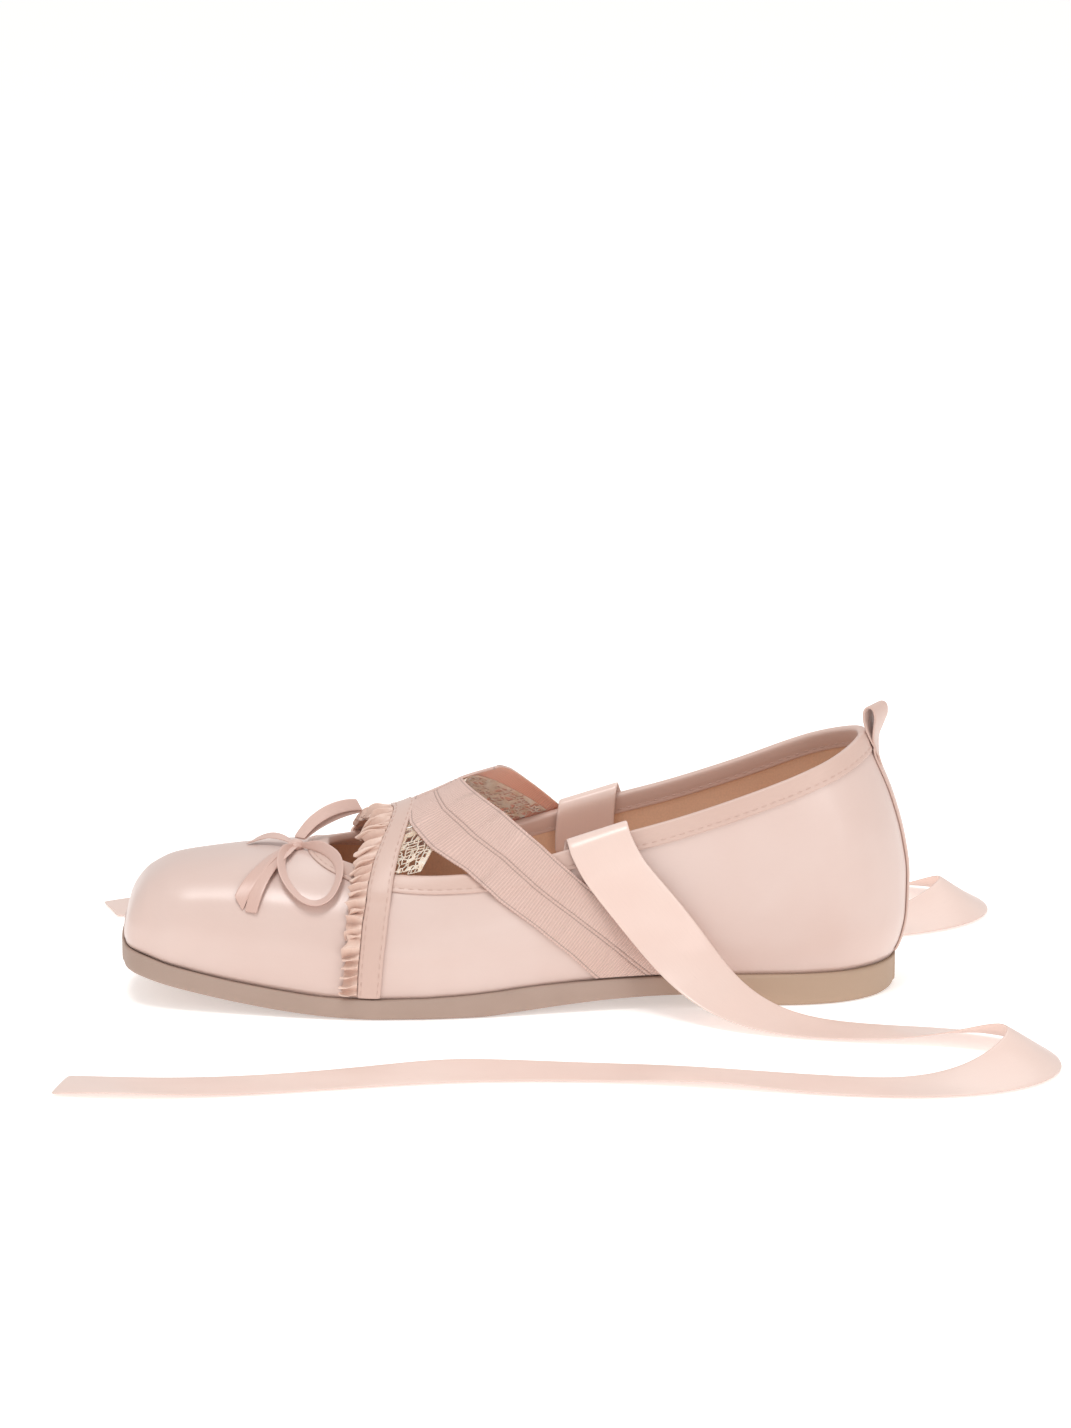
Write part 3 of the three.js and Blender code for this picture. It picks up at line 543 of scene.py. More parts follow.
looks = {
    "satin": {
        "tone": "DEC6BD", "shade": "D7BAAF", "threads": (260.0, 2600.0), "rough": 0.31, "bump": 0.09,
        "sheen": 0.15, "anisotropic": 0.5, "threadTone": 0.03, "specular": 0.75,
    },
    "satinTrim": {
        "tone": "D8BBAF", "shade": "D0AFA2", "threads": (300.0, 2400.0), "rough": 0.42, "bump": 0.2,
        "threadTone": 0.06,
    },
    "frillSatin": {
        "tone": "EBCFC0", "shade": "DDB6A4", "threads": (300.0, 2400.0), "rough": 0.4, "bump": 0.35,
        # The ruffle's fold troughs get painted shade
        "sheen": 0.15, "threadTone": 0.1, "patches": 160.0, "foldShadePaint": ("A87460", 0.5),
    },
    "ribbonSatin": {
        "tone": "EED5CA", "shade": "E8C9BD", "threads": (160.0, 3000.0), "rough": 0.3, "bump": 0.12,
        "sheen": 0.15, "anisotropic": 0.6, "threadTone": 0.05, "specular": 0.7,
    },
    "bowRibbon": {
        "tone": "DDBCB0", "shade": "D0A799", "threads": (400.0, 3000.0), "rough": 0.34, "bump": 0.4,
        "sheen": 0.15,
    },
    "grosgrain": {
        "tone": "E9C8BC", "shade": "E3BEB1", "threads": (900.0, 2200.0), "rough": 0.6, "bump": 0.8,
        "relief": 0.0002,
        # The seam lines are painted shade in the seam grooves
        "ribs": {
            "pitch": 0.9, "height": 1.2, "tone": 0.15, "lines": (-10.1, -0.6, 0.6, 10.1), "lineWidth": 0.2,
            "seamShadeTone": 0.3,
        },
    },
    "elasticBack": {
        "tone": "E4B49E", "shade": "DCA891", "threads": (900.0, 2200.0), "rough": 0.65, "bump": 0.6,
        "relief": 0.0002, "through": 0.5,
        # The seam lines are painted shade in the seam grooves
        "ribs": {
            "pitch": 0.9, "height": 1.0, "tone": 0.12, "lines": (-0.6, 0.6), "lineWidth": 0.2,
            "seamShadeTone": 0.2,
        },
    },
    "liningCloth": {
        "tone": "F8D2B4", "shade": "EEC09F", "threads": (1500.0, 1500.0), "rough": 0.8, "bump": 0.5,
        "sheen": 0.3, "threadTone": 0.2, "specular": 0.2,
    },
    "insoleCloth": {
        "tone": "E6B798", "shade": "D8A585", "threads": (1200.0, 1200.0), "rough": 0.82, "bump": 0.5,
        "sheen": 0.4, "threadTone": 0.25, "specular": 0.2,
    },
    "laceThread": {
        "tone": "F8DFCB", "shade": "E2BB9F", "threads": (1800.0, 1800.0), "rough": 0.35, "bump": 0.6,
        "sheen": 0.3, "threadTone": 0.15, "patches": 420.0, "amount": 0.9, "through": 0.6,
    },
    "thread": {
        "tone": "D9BBAE", "shade": "CBA596", "threads": (2500.0, 2500.0), "rough": 0.5, "bump": 0.5,
        "threadTone": 0.2, "patches": 300.0,
    },
}
cloth = {name: clothMaterial(name, look) for name, look in looks.items()}

# Sole rubber: warmer towards the heel, a fine grain, and ribs across the faces that look down
rubberLook = {
    "tone": "AD9588", "shade": "9D8577", "patches": 40.0, "amount": 0.5,
    "warm": "B79B82", "warmFrom": -0.06, "warmTo": -0.01, "warmAmount": 0.75,
    "rough": 0.6, "roughSpread": 0.08, "grain": 1800.0, "bump": 0.5, "relief": 0.0001,
    "treadPitch": 0.003, "treadHeight": 6.0, "treadFacing": -0.9,
}


def rubberMaterial(look):
    material, tree, shader = newMaterial("soleRubber")
    place = addNode(tree, "TexCoord", {}).outputs["Object"]
    inputs = {
        "Value": addNode(tree, "SeparateXYZ", {0: place}).outputs[0],
        "From Min": look["warmFrom"], "From Max": look["warmTo"],
    }
    towardsHeel = addNode(tree, "MapRange", inputs, interpolation_type="SMOOTHSTEP").outputs["Result"]
    share = mathNode(tree, "MULTIPLY", towardsHeel, look["warmAmount"])
    grain = addNode(tree, "TexNoise", {"Vector": place, "Scale": look["grain"]}).outputs["Fac"]
    facing = addNode(tree, "SeparateXYZ", {0: addNode(tree, "NewGeometry", {}).outputs["Normal"]})
    underneath = mathNode(tree, "LESS_THAN", facing.outputs[2], look["treadFacing"])
    tread = addNode(tree, "Group", {"Vector": place, "Pitch": look["treadPitch"]}, node_tree=ribGroup)
    ribs = mathNode(tree, "MULTIPLY", tread.outputs["Height"], underneath)
    height = mathNode(tree, "ADD", grain, mathNode(tree, "MULTIPLY", ribs, look["treadHeight"]))
    bump = addNode(tree, "Bump", {"Strength": look["bump"], "Distance": look["relief"], "Height": height})
    feed(tree, shader, {
        "Base Color": mixed(tree, share, tonePatches(tree, place, look), linear(look["warm"])),
        "Roughness": spreadAround(tree, grain, look["rough"], look["roughSpread"]),
        "Normal": bump.outputs["Normal"],
    })
    return material


cloth["soleRubber"] = rubberMaterial(rubberLook)
print("materials are made")

# Upper: one satin wall over the last, lining inside
upperSizes = {
    "wall": 1.8, "rows": 40, "belowTop": 1.0, "sunk": 0.02,
    "stops": [
        (-215, -207, 12), (-207, -190, 14), (-190, -158, 24), (-158, -152.2, 10), (-152.2, -146, 22),
        (-146, -20, 84), (-20, 18, 26), (18, 33.4, 18),
    ],
    # Soft troughs and ridges: place in side view, direction in degrees, reach along and across, depth
    "creases": [
        (-206, 30, 78, 9, 3.2, -0.5), (-199, 27, 70, 10, 3.6, 0.35), (-190, 24, 62, 10, 4.0, -0.3),
        (-150, 16, 8, 12, 3.0, -0.25), (-138, 26, 96, 12, 3.0, -0.2), (-60, 30, 24, 22, 4.5, -0.35),
        (-30, 44, 20, 24, 5.0, -0.35), (-12, 30, 62, 16, 5.0, 0.4), (4, 46, 75, 18, 5.0, -0.35),
        (16, 30, 80, 16, 4.5, 0.3), (-96, 22, 14, 20, 4.0, -0.25),
    ],
}


def creaseDepth(point):
    total = 0.0
    for x, z, turn, reach, width, depth in upperSizes["creases"]:
        dx, dz = point.x - x, point.z - z
        c, s = math.cos(math.radians(turn)), math.sin(math.radians(turn))
        along, across = dx * c + dz * s, -dx * s + dz * c
        total += depth * math.exp(-(along / reach) ** 2 - (across / width) ** 2)
    return total


# The wall ends a little under the top line, inside the binding
def wallTop(x):
    return toplineAt(x + upperSizes["belowTop"]) - upperSizes["belowTop"]


def buildUpper():
    bm = sideGrids(formColumns(upperSizes["stops"]), upperSizes["rows"], wallTop)
    bm.normal_update()
    for vert in bm.verts:
        vert.co += vert.normal * (creaseDepth(vert.co) - upperSizes["sunk"])
    addPiece(bm, "upper_wall", ["satin", "liningCloth"], ["upper"], upperSizes["wall"])


buildUpper()
print("the upper is made")

# Binding: a folded satin channel over the top edge, as a ring round the collar and throat
bindingSizes = {
    "pieces": 300, "throat": -153, "flat": (560, 22),
    # Distance below the top line and from the form, from the outer edge over the top to the inner one
    "profile": [
        (6.7, 0.02), (6.7, 0.4), (6.4, 0.62), (5.8, 0.62), (5.2, 0.4), (4.6, 0.62), (2.8, 0.7), (1.3, 0.62),
        (0.5, 0.45), (0.12, 0.1), (0.0, -0.5), (0.0, -1.2), (0.12, -1.8), (0.5, -2.2), (1.3, -2.36),
        (2.8, -2.4), (4.6, -2.34), (5.2, -2.2), (5.8, -2.34), (6.4, -2.34), (6.7, -2.2), (6.7, -1.85),
        (4.0, -1.83), (1.6, -1.83), (1.1, -0.9), (1.6, 0.0), (4.0, 0.0),
    ],
    # How far trim that crosses the binding stands out, and where it starts to
    "cover": 0.75, "coverFrom": 6.0, "coverReach": 2.6,
}


def toplinePath(count):
    columns = [c for c in formColumns(upperSizes["stops"]) if c[0] > bindingSizes["throat"]]
    halves = []
    for side in (-1, 1):
        ends = []
        for column in columns:
            if column[1] == 1 and lastAt["crown"](column[0]) < toplineAt(column[0]):
                continue
            ends.append(sideRows(column, side, 3, toplineAt)[-1])
        halves.append(np.array(ends))
    ring = np.concatenate([halves[0], halves[1][::-1]])
    ring = np.concatenate([ring, ring[:1]])
    return evenly(ring, count + 1)[:-1]


def bindingFrames():
    ring = toplinePath(bindingSizes["pieces"])
    for _ in range(2):
        ring = (np.roll(ring, 1, axis=0) + 2 * ring + np.roll(ring, -1, axis=0)) / 4
    frames = []
    for i, point in enumerate(ring):
        tangent = Vector(ring[(i + 1) % len(ring)] - ring[i - 1]).normalized()
        place, normal = nearestOnForm(point)
        frames.append((place, normal.cross(tangent).normalized()))
    if sum(down.z for place, down in frames) > 0:
        frames = [(place, -down) for place, down in frames]
    return frames


bindingRing = bindingFrames()


def onBinding(i, below, out):
    place, down = bindingRing[i % len(bindingRing)]
    spot, normal = nearestOnForm(place + down * max(0.0, below))
    return spot + normal * out - down * max(0.0, -below)


def buildBinding():
    profile = bindingSizes["profile"]
    around = len(profile)

    def place(u, v):
        return onBinding(round(u * len(bindingRing)), *profile[round(v * around) % around])

    bm = clothGrid(len(bindingRing), around, place, bindingSizes["flat"], wrap=True)
    bmesh.ops.recalc_face_normals(bm, faces=bm.faces)
    addPiece(bm, "topline_binding_fold", ["satinTrim"], ["topline_binding"], smoothLevels=1)


buildBinding()
print("the binding is folded over")

# Trim lines that lean in side view, from the crown down to the sole
lines = {
    "bandRear": [
        (-134.2, 4), (-132.9, 20), (-131.2, 33), (-129.4, 43), (-127.4, 49.5), (-125.1, 54.6), (-123.2, 58),
        (-120.6, 61.2), (-117, 64), (-112, 70), (-106, 82),
    ],
    "bandFront": [
        (-141.6, 4), (-140.8, 18), (-139.4, 31), (-137.2, 41), (-135.4, 46.5), (-132.4, 52.1),
        (-128.7, 57.4), (-126.2, 60.8), (-123, 64), (-118, 72), (-113, 82),
    ],
    "ruffleFront": [
        (-146.8, 4), (-146.2, 18), (-144.6, 31), (-142.2, 44), (-138.9, 50), (-136, 54), (-133, 57.6),
        (-128, 64), (-122, 82),
    ],
    "lateralUpper": [(-29, 9), (-51, 26.7), (-68, 40), (-83, 52.7), (-95, 60.9), (-107, 67), (-108, 82)],
    "lateralLower": [
        (-64.6, 9), (-75, 19.5), (-86, 28.9), (-97, 36.9), (-107.5, 45.4), (-118, 50.9), (-124, 56),
        (-124, 82),
    ],
    "medialUpper": [
        (-27, 9), (-51, 29.4), (-70, 47), (-82.3, 59), (-91.2, 67.4), (-95.2, 70), (-99.5, 73), (-102, 82),
    ],
    "medialLower": [
        (-61, 9), (-75, 21.4), (-86, 31.4), (-97, 41.5), (-107.5, 50.4), (-115.5, 56.4), (-124, 60),
        (-124, 82),
    ],
    "laceBandFront": [(-131.5, 43), (-128.6, 50), (-124, 58), (-119, 66), (-114, 82)],
    "laceBandRear": [(-122.6, 43), (-117.4, 50.6), (-112.4, 57.5), (-108, 66), (-106, 82)],
    "laceStrapFront": [(-84, 39), (-94, 47.4), (-104, 56), (-112.6, 66), (-114, 82)],
    "laceStrapRear": [(-71, 43.5), (-84, 54.6), (-95, 62.4), (-104, 68), (-106, 82)],
    "laceStrapHidden": [(-76, 41), (-89, 51.8), (-100, 59.4), (-108, 65), (-110, 82)],
}
lineAt = {name: lineReader(points) for name, points in lines.items()}


# How the crossing of a line and the form is found, and the points that a line is measured in
search = {"height": 30, "rounds": 14, "step": 0.6, "marks": 240}


# The point of the form that lies on a leaning line; q runs from -1 on the lateral feather line
# over the crown at 0 to 1 on the medial feather line
def onLine(q, lineName):
    side, share = (-1 if q <= 0 else 1), np.array([1 - abs(q)])
    x = float(lineAt[lineName](search["height"]))
    for _ in range(search["rounds"]):
        wide, high = sectionAt(x, side, share)
        x += (float(lineAt[lineName](high[0])) - x) * search["step"]
    wide, high = sectionAt(x, side, share)
    return Vector((x, side * wide[0], high[0]))


# Where the trim crosses the binding it stands that much further out
def overBinding(point):
    edge = float(toplineAt(point.x)) - bindingSizes["coverFrom"]
    return easeIn(point.z, edge - bindingSizes["coverReach"], edge) * bindingSizes["cover"]


# Even steps of q along a line, and its length
def evenSteps(lineName, start, end, count):
    marks = np.linspace(start, end, search["marks"])
    steps = runAlong(np.array([onLine(q, lineName) for q in marks]))
    return np.interp(np.linspace(0, steps[-1], count + 1), steps, marks), steps[-1]


def linePoints(marks, *lineNames):
    return [[onLine(q, lineName) for q in marks] for lineName in lineNames]


def trimPoint(first, second, share, out):
    spot, normal = nearestOnForm(first.lerp(second, share))
    return spot + normal * (out + overBinding(spot))


# Narrow band across the instep
bandSizes = {
    "width": 7.5, "out": 0.4, "thick": 1.0, "along": 150, "across": 8, "end": 0.985,
    "edge": 0.25, "roll": 6,  # how much thinner its edges are, and the power that rounds them
}


def buildBand():
    marks, length = evenSteps("bandRear", -bandSizes["end"], bandSizes["end"], bandSizes["along"])
    rear, front = linePoints(marks, "bandRear", "bandFront")

    def place(u, v):
        i = round(u * bandSizes["along"])
        edge = bandSizes["edge"] * (2 * v - 1) ** bandSizes["roll"]
        return trimPoint(rear[i], front[i], v, bandSizes["out"] + bandSizes["thick"] - edge)

    bm = clothGrid(bandSizes["along"], bandSizes["across"], place, (length, bandSizes["width"]))
    faceOutwards(bm, fromAxis)
    thick = bandSizes["thick"]
    addPiece(bm, "instep_band_fold", ["satinTrim"], ["instep_band"], thick, smoothLevels=1)


buildBand()

# Pleated ruffle in front of the band: folds that lie over one another, no two alike
ruffleSizes = {
    "pleats": 50, "stepsPerPleat": 12, "across": 10, "end": 0.98, "out": 0.5, "thick": 0.28, "seed": 5,
    "width": 6, "fullness": 1.8, "unevenness": 0.3,
    # Height of a fold, its share at the sewn edge, where it is full, and where and how far its tip drops
    "rise": 2.3, "riseDraw": 0.5, "sewn": 0.25, "fullAt": 0.6, "tipFrom": 0.75, "tipDrop": 0.35,
    "crest": 0.7,  # power that rounds the top of a fold
    # Length of a pleat and the wave of its free edge
    "reach": 0.94, "reachDraw": 0.14, "edgeWave": 0.1, "edgeTurn": 2,
    # How far a fold lies over the next one, its share at the sewn edge, and how far it leans
    "overlap": 0.8, "overlapDraw": 0.5, "overlapSewn": 0.4, "skew": 2.0,
}


def buildRuffle():
    size = ruffleSizes
    random.seed(size["seed"])
    pleats, steps = size["pleats"], size["stepsPerPleat"]
    along = pleats * steps
    marks, length = evenSteps("bandFront", -size["end"], size["end"], along)
    draws = [[random.uniform(-1, 1) for _ in range(pleats + 2)] for _ in range(6)]
    heights, skews, reaches, widths, tips, shifts = draws
    bounds = [k + size["unevenness"] * shifts[k] for k in range(pleats + 1)]
    bounds[0], bounds[-1] = 0, pleats
    spots = np.interp(np.arange(along + 1) / steps, range(pleats + 1), bounds)
    marks = np.interp(spots / pleats, np.linspace(0, 1, along + 1), marks)
    rear, front = linePoints(marks, "bandFront", "ruffleFront")
    depths = {}

    def place(u, v):
        i = round(u * along)
        k, phase = divmod(i, steps)
        turn, blend = 2 * math.pi * phase / steps, phase / steps
        crest = (0.5 - 0.5 * math.cos(turn)) ** size["crest"]
        rise = size["rise"] * (1 + size["riseDraw"] * heights[k])
        rise *= size["sewn"] + (1 - size["sewn"]) * easeIn(v, 0.0, size["fullAt"])
        rise *= 1 - size["tipDrop"] * easeIn(v, size["tipFrom"], 1.0) * (1 + tips[k])
        reach = size["reach"] + size["reachDraw"] * (reaches[k] * (1 - blend) + reaches[k + 1] * blend)
        reach += size["edgeWave"] * v * math.sin(turn + tips[k] * size["edgeTurn"])
        fold = size["overlap"] * math.sin(turn) * (1 + size["overlapDraw"] * widths[k])
        fold *= size["overlapSewn"] + (1 - size["overlapSewn"]) * v
        lean = size["skew"] * v * (skews[k] * (1 - blend) + skews[k + 1] * blend)
        tangent = (rear[min(i + 1, along)] - rear[max(i - 1, 0)]).normalized()
        point = trimPoint(rear[i], front[i], v * reach, size["out"] + rise * crest)
        point += tangent * (fold + lean)
        depths[tuple(point)] = (1 - crest) ** 2
        return point

    bm = clothGrid(along, size["across"], place, (length * size["fullness"], size["width"]))
    depthLayer = bm.verts.layers.float.new("depth")
    for vert in bm.verts:
        vert[depthLayer] = depths[tuple(vert.co)]
    faceOutwards(bm, fromAxis)
    addPiece(
        bm, "instep_ruffle_pleats", ["frillSatin"], ["instep_ruffle"], size["thick"],
        smoothLevels=1, offset=0.0, even=False,
    )


buildRuffle()
print("the band and the ruffle are sewn on")

# Wide elastic straps from the arch to the band: two woven strips joined by a middle seam
strapSizes = {
    "out": 0.4, "thick": 0.85, "along": 120, "width": 22.0, "start": 0.004, "end": 0.985,
    "tucked": 1.2,  # how far the front end goes in under the band
    "apart": 0.16,  # distance of each strap from the middle
    # Place and depth of each seam and hem, and how wide they are
    "grooves": [(-0.6, 0.34), (0.6, 0.34), (-10.1, 0.16), (10.1, 0.16)], "grooveWidth": 0.24,
    # Offsets to each side of the middle, closer together at the seams and at the edges
    "offsets": (0.35, 0.6, 0.85, 1.1, 1.5, 2.5, 4, 5.5, 7, 8.5, 9.6, 9.9, 10.1, 10.3, 10.6, 10.9, 11),
}


def strapGroove(offset):
    wide = strapSizes["grooveWidth"]
    return sum(depth * math.exp(-((offset - spot) / wide) ** 2) for spot, depth in strapSizes["grooves"])


def buildStrap(side):
    word, along, half = sideName(side), strapSizes["along"], strapSizes["offsets"]
    offsets = [-offset for offset in reversed(half)] + [0, *half]
    marks, length = evenSteps(word + "Upper", side * strapSizes["start"], side * strapSizes["end"], along)
    rear, lower, edge = linePoints(marks, word + "Upper", word + "Lower", "bandRear")
    middle = np.array([nearestOnForm((a + b) / 2)[0] for a, b in zip(rear, lower)])
    steps = runAlong(middle)

    # Share of the width, where the strap's front edge stays under the band
    def shareOf(i, j):
        share = (offsets[j] + strapSizes["width"] / 2) / strapSizes["width"]
        return min(share, (rear[i].x - edge[i].x + strapSizes["tucked"]) / (rear[i].x - lower[i].x))

    def alongStrap(point):
        away = np.linalg.norm(middle - np.array(point), axis=1)
        i = min(max(int(np.argmin(away)), 1), len(middle) - 2)
        heading = middle[i + 1] - middle[i - 1]
        heading /= np.linalg.norm(heading)
        return steps[i] + float((np.array(point) - middle[i]) @ heading)

    flat = {}

    def place(u, v):
        i, j = round(u * along), round(v * (len(offsets) - 1))
        share = shareOf(i, j)
        spot, normal = nearestOnForm(rear[i].lerp(lower[i], share))
        offset = (share - 0.5) * strapSizes["width"]
        out = strapSizes["out"] + strapSizes["thick"] + overBinding(spot) - strapGroove(offset)
        point = spot + normal * out
        if side * point.y < strapSizes["apart"]:
            point.y = side * strapSizes["apart"]
        flat[i, j] = (alongStrap(spot), offset)
        return point

    bm = clothGrid(along, len(offsets) - 1, place, (length, strapSizes["width"]), chart=flat)
    bmesh.ops.remove_doubles(bm, verts=bm.verts, dist=0.01)
    faceOutwards(bm, fromAxis)
    addPiece(
        bm, "elastic_strap_" + word + "_weave", ["grosgrain", "elasticBack"],
        ["elastic_strap_" + word], strapSizes["thick"], smoothLevels=1,
    )


for side in (-1, 1):
    buildStrap(side)
print("the straps are sewn on")

# Lace tapes: a net of threads with real holes, some cells filled as petals
laceSizes = {
    "cell": 1.35, "jitter": 0.45, "thread": 0.2, "thick": 0.28, "selvedge": 1.1, "seed": 11,
    "merged": 0.16, "filled": 0.2,  # share of the threads left out and of the cells closed
    "rows": 60, "marks": 200, "blend": 0.1, "clear": 0.3, "trimmed": 0.25,
    "ends": (0.55, -0.62),  # q at the band's end and at the strap's end
    "ripple": 0.12, "ripples": (40, 9),
    "out": {"lateral": 0.95, "medial": 0.15},
    "byBand": ("laceBandFront", "laceBandRear"),
    "byStrap": {
        "lateral": ("laceStrapFront", "laceStrapRear"), "medial": ("laceStrapFront", "laceStrapHidden"),
    },
}


# Both edges of a tape in even rows: beside the band on one side, under the strap on the other
def laceRows(bandSide):
    byStrap = laceSizes["byStrap"][sideName(bandSide)]

    def edges(q):
        own, other = laceSizes["byBand"], byStrap
        if q * bandSide <= 0:
            own, other = other, own
        first = [onLine(q, name) for name in own]
        blend = easeIn(abs(q), 0.0, laceSizes["blend"])
        if blend < 1:
            first = [onLine(q, name).lerp(a, 0.5 + 0.5 * blend) for a, name in zip(first, other)]
        return first

    start, end = laceSizes["ends"]
    pairs = [edges(q) for q in np.linspace(bandSide * start, bandSide * end, laceSizes["marks"])]
    clear = laceSizes["clear"]
    inside = [i for i, (a, b) in enumerate(pairs) if max(a.z, b.z) > toplineAt(a.x) + clear]
    shown = pairs[inside[0]:inside[-1] + 1]
    return evenly(np.array([[*a, *b] for a, b in shown]), laceSizes["rows"])


def buildLace(bandSide):
    word, cell = sideName(bandSide), laceSizes["cell"]
    random.seed(laceSizes["seed"] + bandSide)
    both = laceRows(bandSide)
    length = float(runAlong((both[:, :3] + both[:, 3:]) / 2)[-1])
    width = float(np.linalg.norm(both[:, :3] - both[:, 3:], axis=1).mean())
    bm = bmesh.new()
    uvLayer = bm.loops.layers.uv.new("cloth")
    bmesh.ops.create_grid(
        bm, x_segments=round(length / cell), y_segments=max(4, round(width / cell)), size=0.5,
    )
    for vert in bm.verts:
        if not vert.is_boundary:
            vert.co.x += random.uniform(-1, 1) * laceSizes["jitter"] * cell / length
            vert.co.y += random.uniform(-1, 1) * laceSizes["jitter"] * cell / width
    inner = [edge for edge in bm.edges if not edge.is_boundary]
    merged = random.sample(inner, int(len(inner) * laceSizes["merged"]))
    bmesh.ops.dissolve_edges(bm, edges=merged, use_verts=False)
    for vert in bm.verts:
        vert.co.x *= length
        vert.co.y *= width
    faces = list(bm.faces)
    bmesh.ops.inset_individual(bm, faces=faces, thickness=laceSizes["thread"], use_even_offset=True)
    filled, net = laceSizes["filled"], width / 2 - laceSizes["selvedge"]
    holes = [f for f in faces if random.random() > filled and abs(f.calc_center_median().y) < net]
    bmesh.ops.delete(bm, geom=holes, context="FACES")
    for face in bm.faces:
        for loop in face.loops:
            loop[uvLayer].uv = loop.vert.co.xy * mm
    for vert in bm.verts:
        u, v = vert.co.x / length + 0.5, vert.co.y / width + 0.5
        row = rowAt(both, min(1, max(0, u)))
        spot = Vector(row[:3]).lerp(Vector(row[3:]), min(1, max(0, v)))
        ripple = math.sin(u * laceSizes["ripples"][0]) * math.sin(v * laceSizes["ripples"][1])
        vert.co = lifted(spot, laceSizes["out"][word] + laceSizes["ripple"] * ripple)
    faceOutwards(bm, fromAxis)
    low = [v for v in bm.verts if v.co.z < toplineAt(v.co.x) + laceSizes["trimmed"]]
    bmesh.ops.delete(bm, geom=low, context="VERTS")
    addPiece(
        bm, "lace_tape_" + word + "_net", ["laceThread"], ["lace_tape_" + word], laceSizes["thick"],
    )


for side in (-1, 1):
    buildLace(side)
print("the lace is knotted")


# Outsole: one moulding with toe spring, arch, a step in front of the heel and a low heel
soleSizes = {
    "rim": 1.75, "gap": 0.05, "flat": (250, 90),
    # Stretch past the last's ends, height at which they lean, their bulge, and where the edge narrows
    "spread": 1.004, "leanAt": 10.0, "bulge": 1.6, "narrow": 8,
    # Columns at the step in front of the heel, in place of the form's own between two places
    "steps": [-34.5, -33, -31.6, -31.2, -30.9, -29, -27, -25.1, -24.8, -24.5, -23.5, -21],
    "stepsFrom": -36, "stepsTo": -20.5,
    "bottom": [
        (-215, 12.4), (-213.6, 11.6), (-208, 9.8), (-201, 8.0), (-190, 5.8), (-176, 3.4), (-161, 1.5),
        (-148, 0.45), (-136, 0), (-120, 0), (-104, 0), (-92, 0.9), (-75, 2.4), (-60, 3.4), (-46, 3.9),
        (-31.4, 4.1), (-31, 6.4), (-25, 6.4), (-24.6, 0), (-8, 0), (8, 0), (18, 0), (26, 0), (30.4, 0.35),
        (32.4, 0.9), (33.4, 1.7),
    ],
    # Pull from the edge and rise of the side, from the tread up
    "side": [
        (6.0, 0.0), (2.4, 0.0), (1.5, 0.03), (0.9, 0.1), (0.4, 0.26), (0.1, 0.5), (0.0, 0.76), (0.03, 0.9),
        (0.16, 0.97), (0.5, 0.995), (1.3, 1.0), (5.0, 1.0),
    ],
}


def buildSole():
    size, side = soleSizes, soleSizes["side"]
    bottomAt = curveReader(size["bottom"])
    columns = [c for c in formColumns(formStops) if not size["stepsFrom"] < c[0] < size["stepsTo"]]
    columns += [(x, 1) for x in size["steps"]]
    columns.sort(key=lambda c: (c[0], -c[1] if c[0] > 0 else c[1]))
    loop = [(-1, k) for k in range(len(side))] + [(1, k) for k in reversed(range(len(side)))]
    middle = (last["toe"] + last["heel"]) / 2

    def place(u, v):
        x, narrow = columns[round(u * (len(columns) - 1))]
        sign, k = loop[round(v * len(loop)) % len(loop)]
        pull, rise = side[k]
        full = float(lastAt[sideName(sign)](x)) - last["pull"] + size["rim"]
        top, low = float(lastAt["feather"](x)) - size["gap"], float(bottomAt(x))
        y = sign * max(0.0, full - pull * min(1.0, full / size["narrow"])) * narrow
        end = float(leanHeel(middle + (x - middle) * size["spread"], size["leanAt"]))
        if narrow < 1:
            end += closingBulge(x, narrow) * size["bulge"]
        return Vector((end, y, low + (top - low) * rise))

    bm = clothGrid(len(columns) - 1, len(loop), place, size["flat"], wrap=True)
    bmesh.ops.recalc_face_normals(bm, faces=bm.faces)
    addPiece(bm, "outsole_rubber", ["soleRubber"], ["outsole"])


buildSole()

# Insole: a thin pad that crowns a little and turns down at its edge
insoleSizes = {
    "thick": 2.6, "inset": 2.3, "crown": 0.25, "across": 20, "flat": (240, 80),
    # Pull from the edge and rise of the pad's side, from below
    "levels": [(0.0, 0.0), (0.0, 0.55), (0.3, 0.86), (0.9, 1.0)],
    # Distance from the last's ends, length and shift, height at which it leans, and its foot in the sole
    "toeGap": 1, "heelGap": 1.5, "length": 0.985, "shift": 1.2, "leanAt": 9.0, "seat": 0.05, "sunk": 0.1,
}


def buildInsole():
    size, levels, across = insoleSizes, insoleSizes["levels"], insoleSizes["across"]
    toe, heel = last["toe"] + size["toeGap"], last["heel"] - size["heelGap"]
    columns = [c[0] for c in formColumns(formStops) if c[1] == 1 and toe < c[0] < heel]
    loop = [(-1, pull, rise, 1) for pull, rise in levels]
    loop += [(0, levels[-1][0], 1.0, 2 * k / across - 1) for k in range(1, across)]
    loop += [(1, pull, rise, 1) for pull, rise in reversed(levels)]

    def place(u, v):
        x = columns[round(u * (len(columns) - 1))]
        sign, pull, rise, share = loop[round(v * len(loop)) % len(loop)]
        width = float(lastAt[sideName(sign or share)](x)) - size["inset"] - last["pull"] - pull
        z = float(lastAt["feather"](x)) + size["seat"] + (size["thick"] + size["sunk"]) * rise
        if sign == 0:
            z -= size["crown"] * (1 - share * share)
        end = float(leanHeel(x * size["length"] - size["shift"], size["leanAt"]))
        return Vector((end, (sign or share) * width, z))

    bm = clothGrid(len(columns) - 1, len(loop), place, size["flat"], wrap=True)
    bmesh.ops.holes_fill(bm, edges=[e for e in bm.edges if e.is_boundary], sides=0)
    bmesh.ops.recalc_face_normals(bm, faces=bm.faces)
    addPiece(bm, "insole_pad", ["insoleCloth"], ["insole"])


buildInsole()
print("the sole and the insole are in")


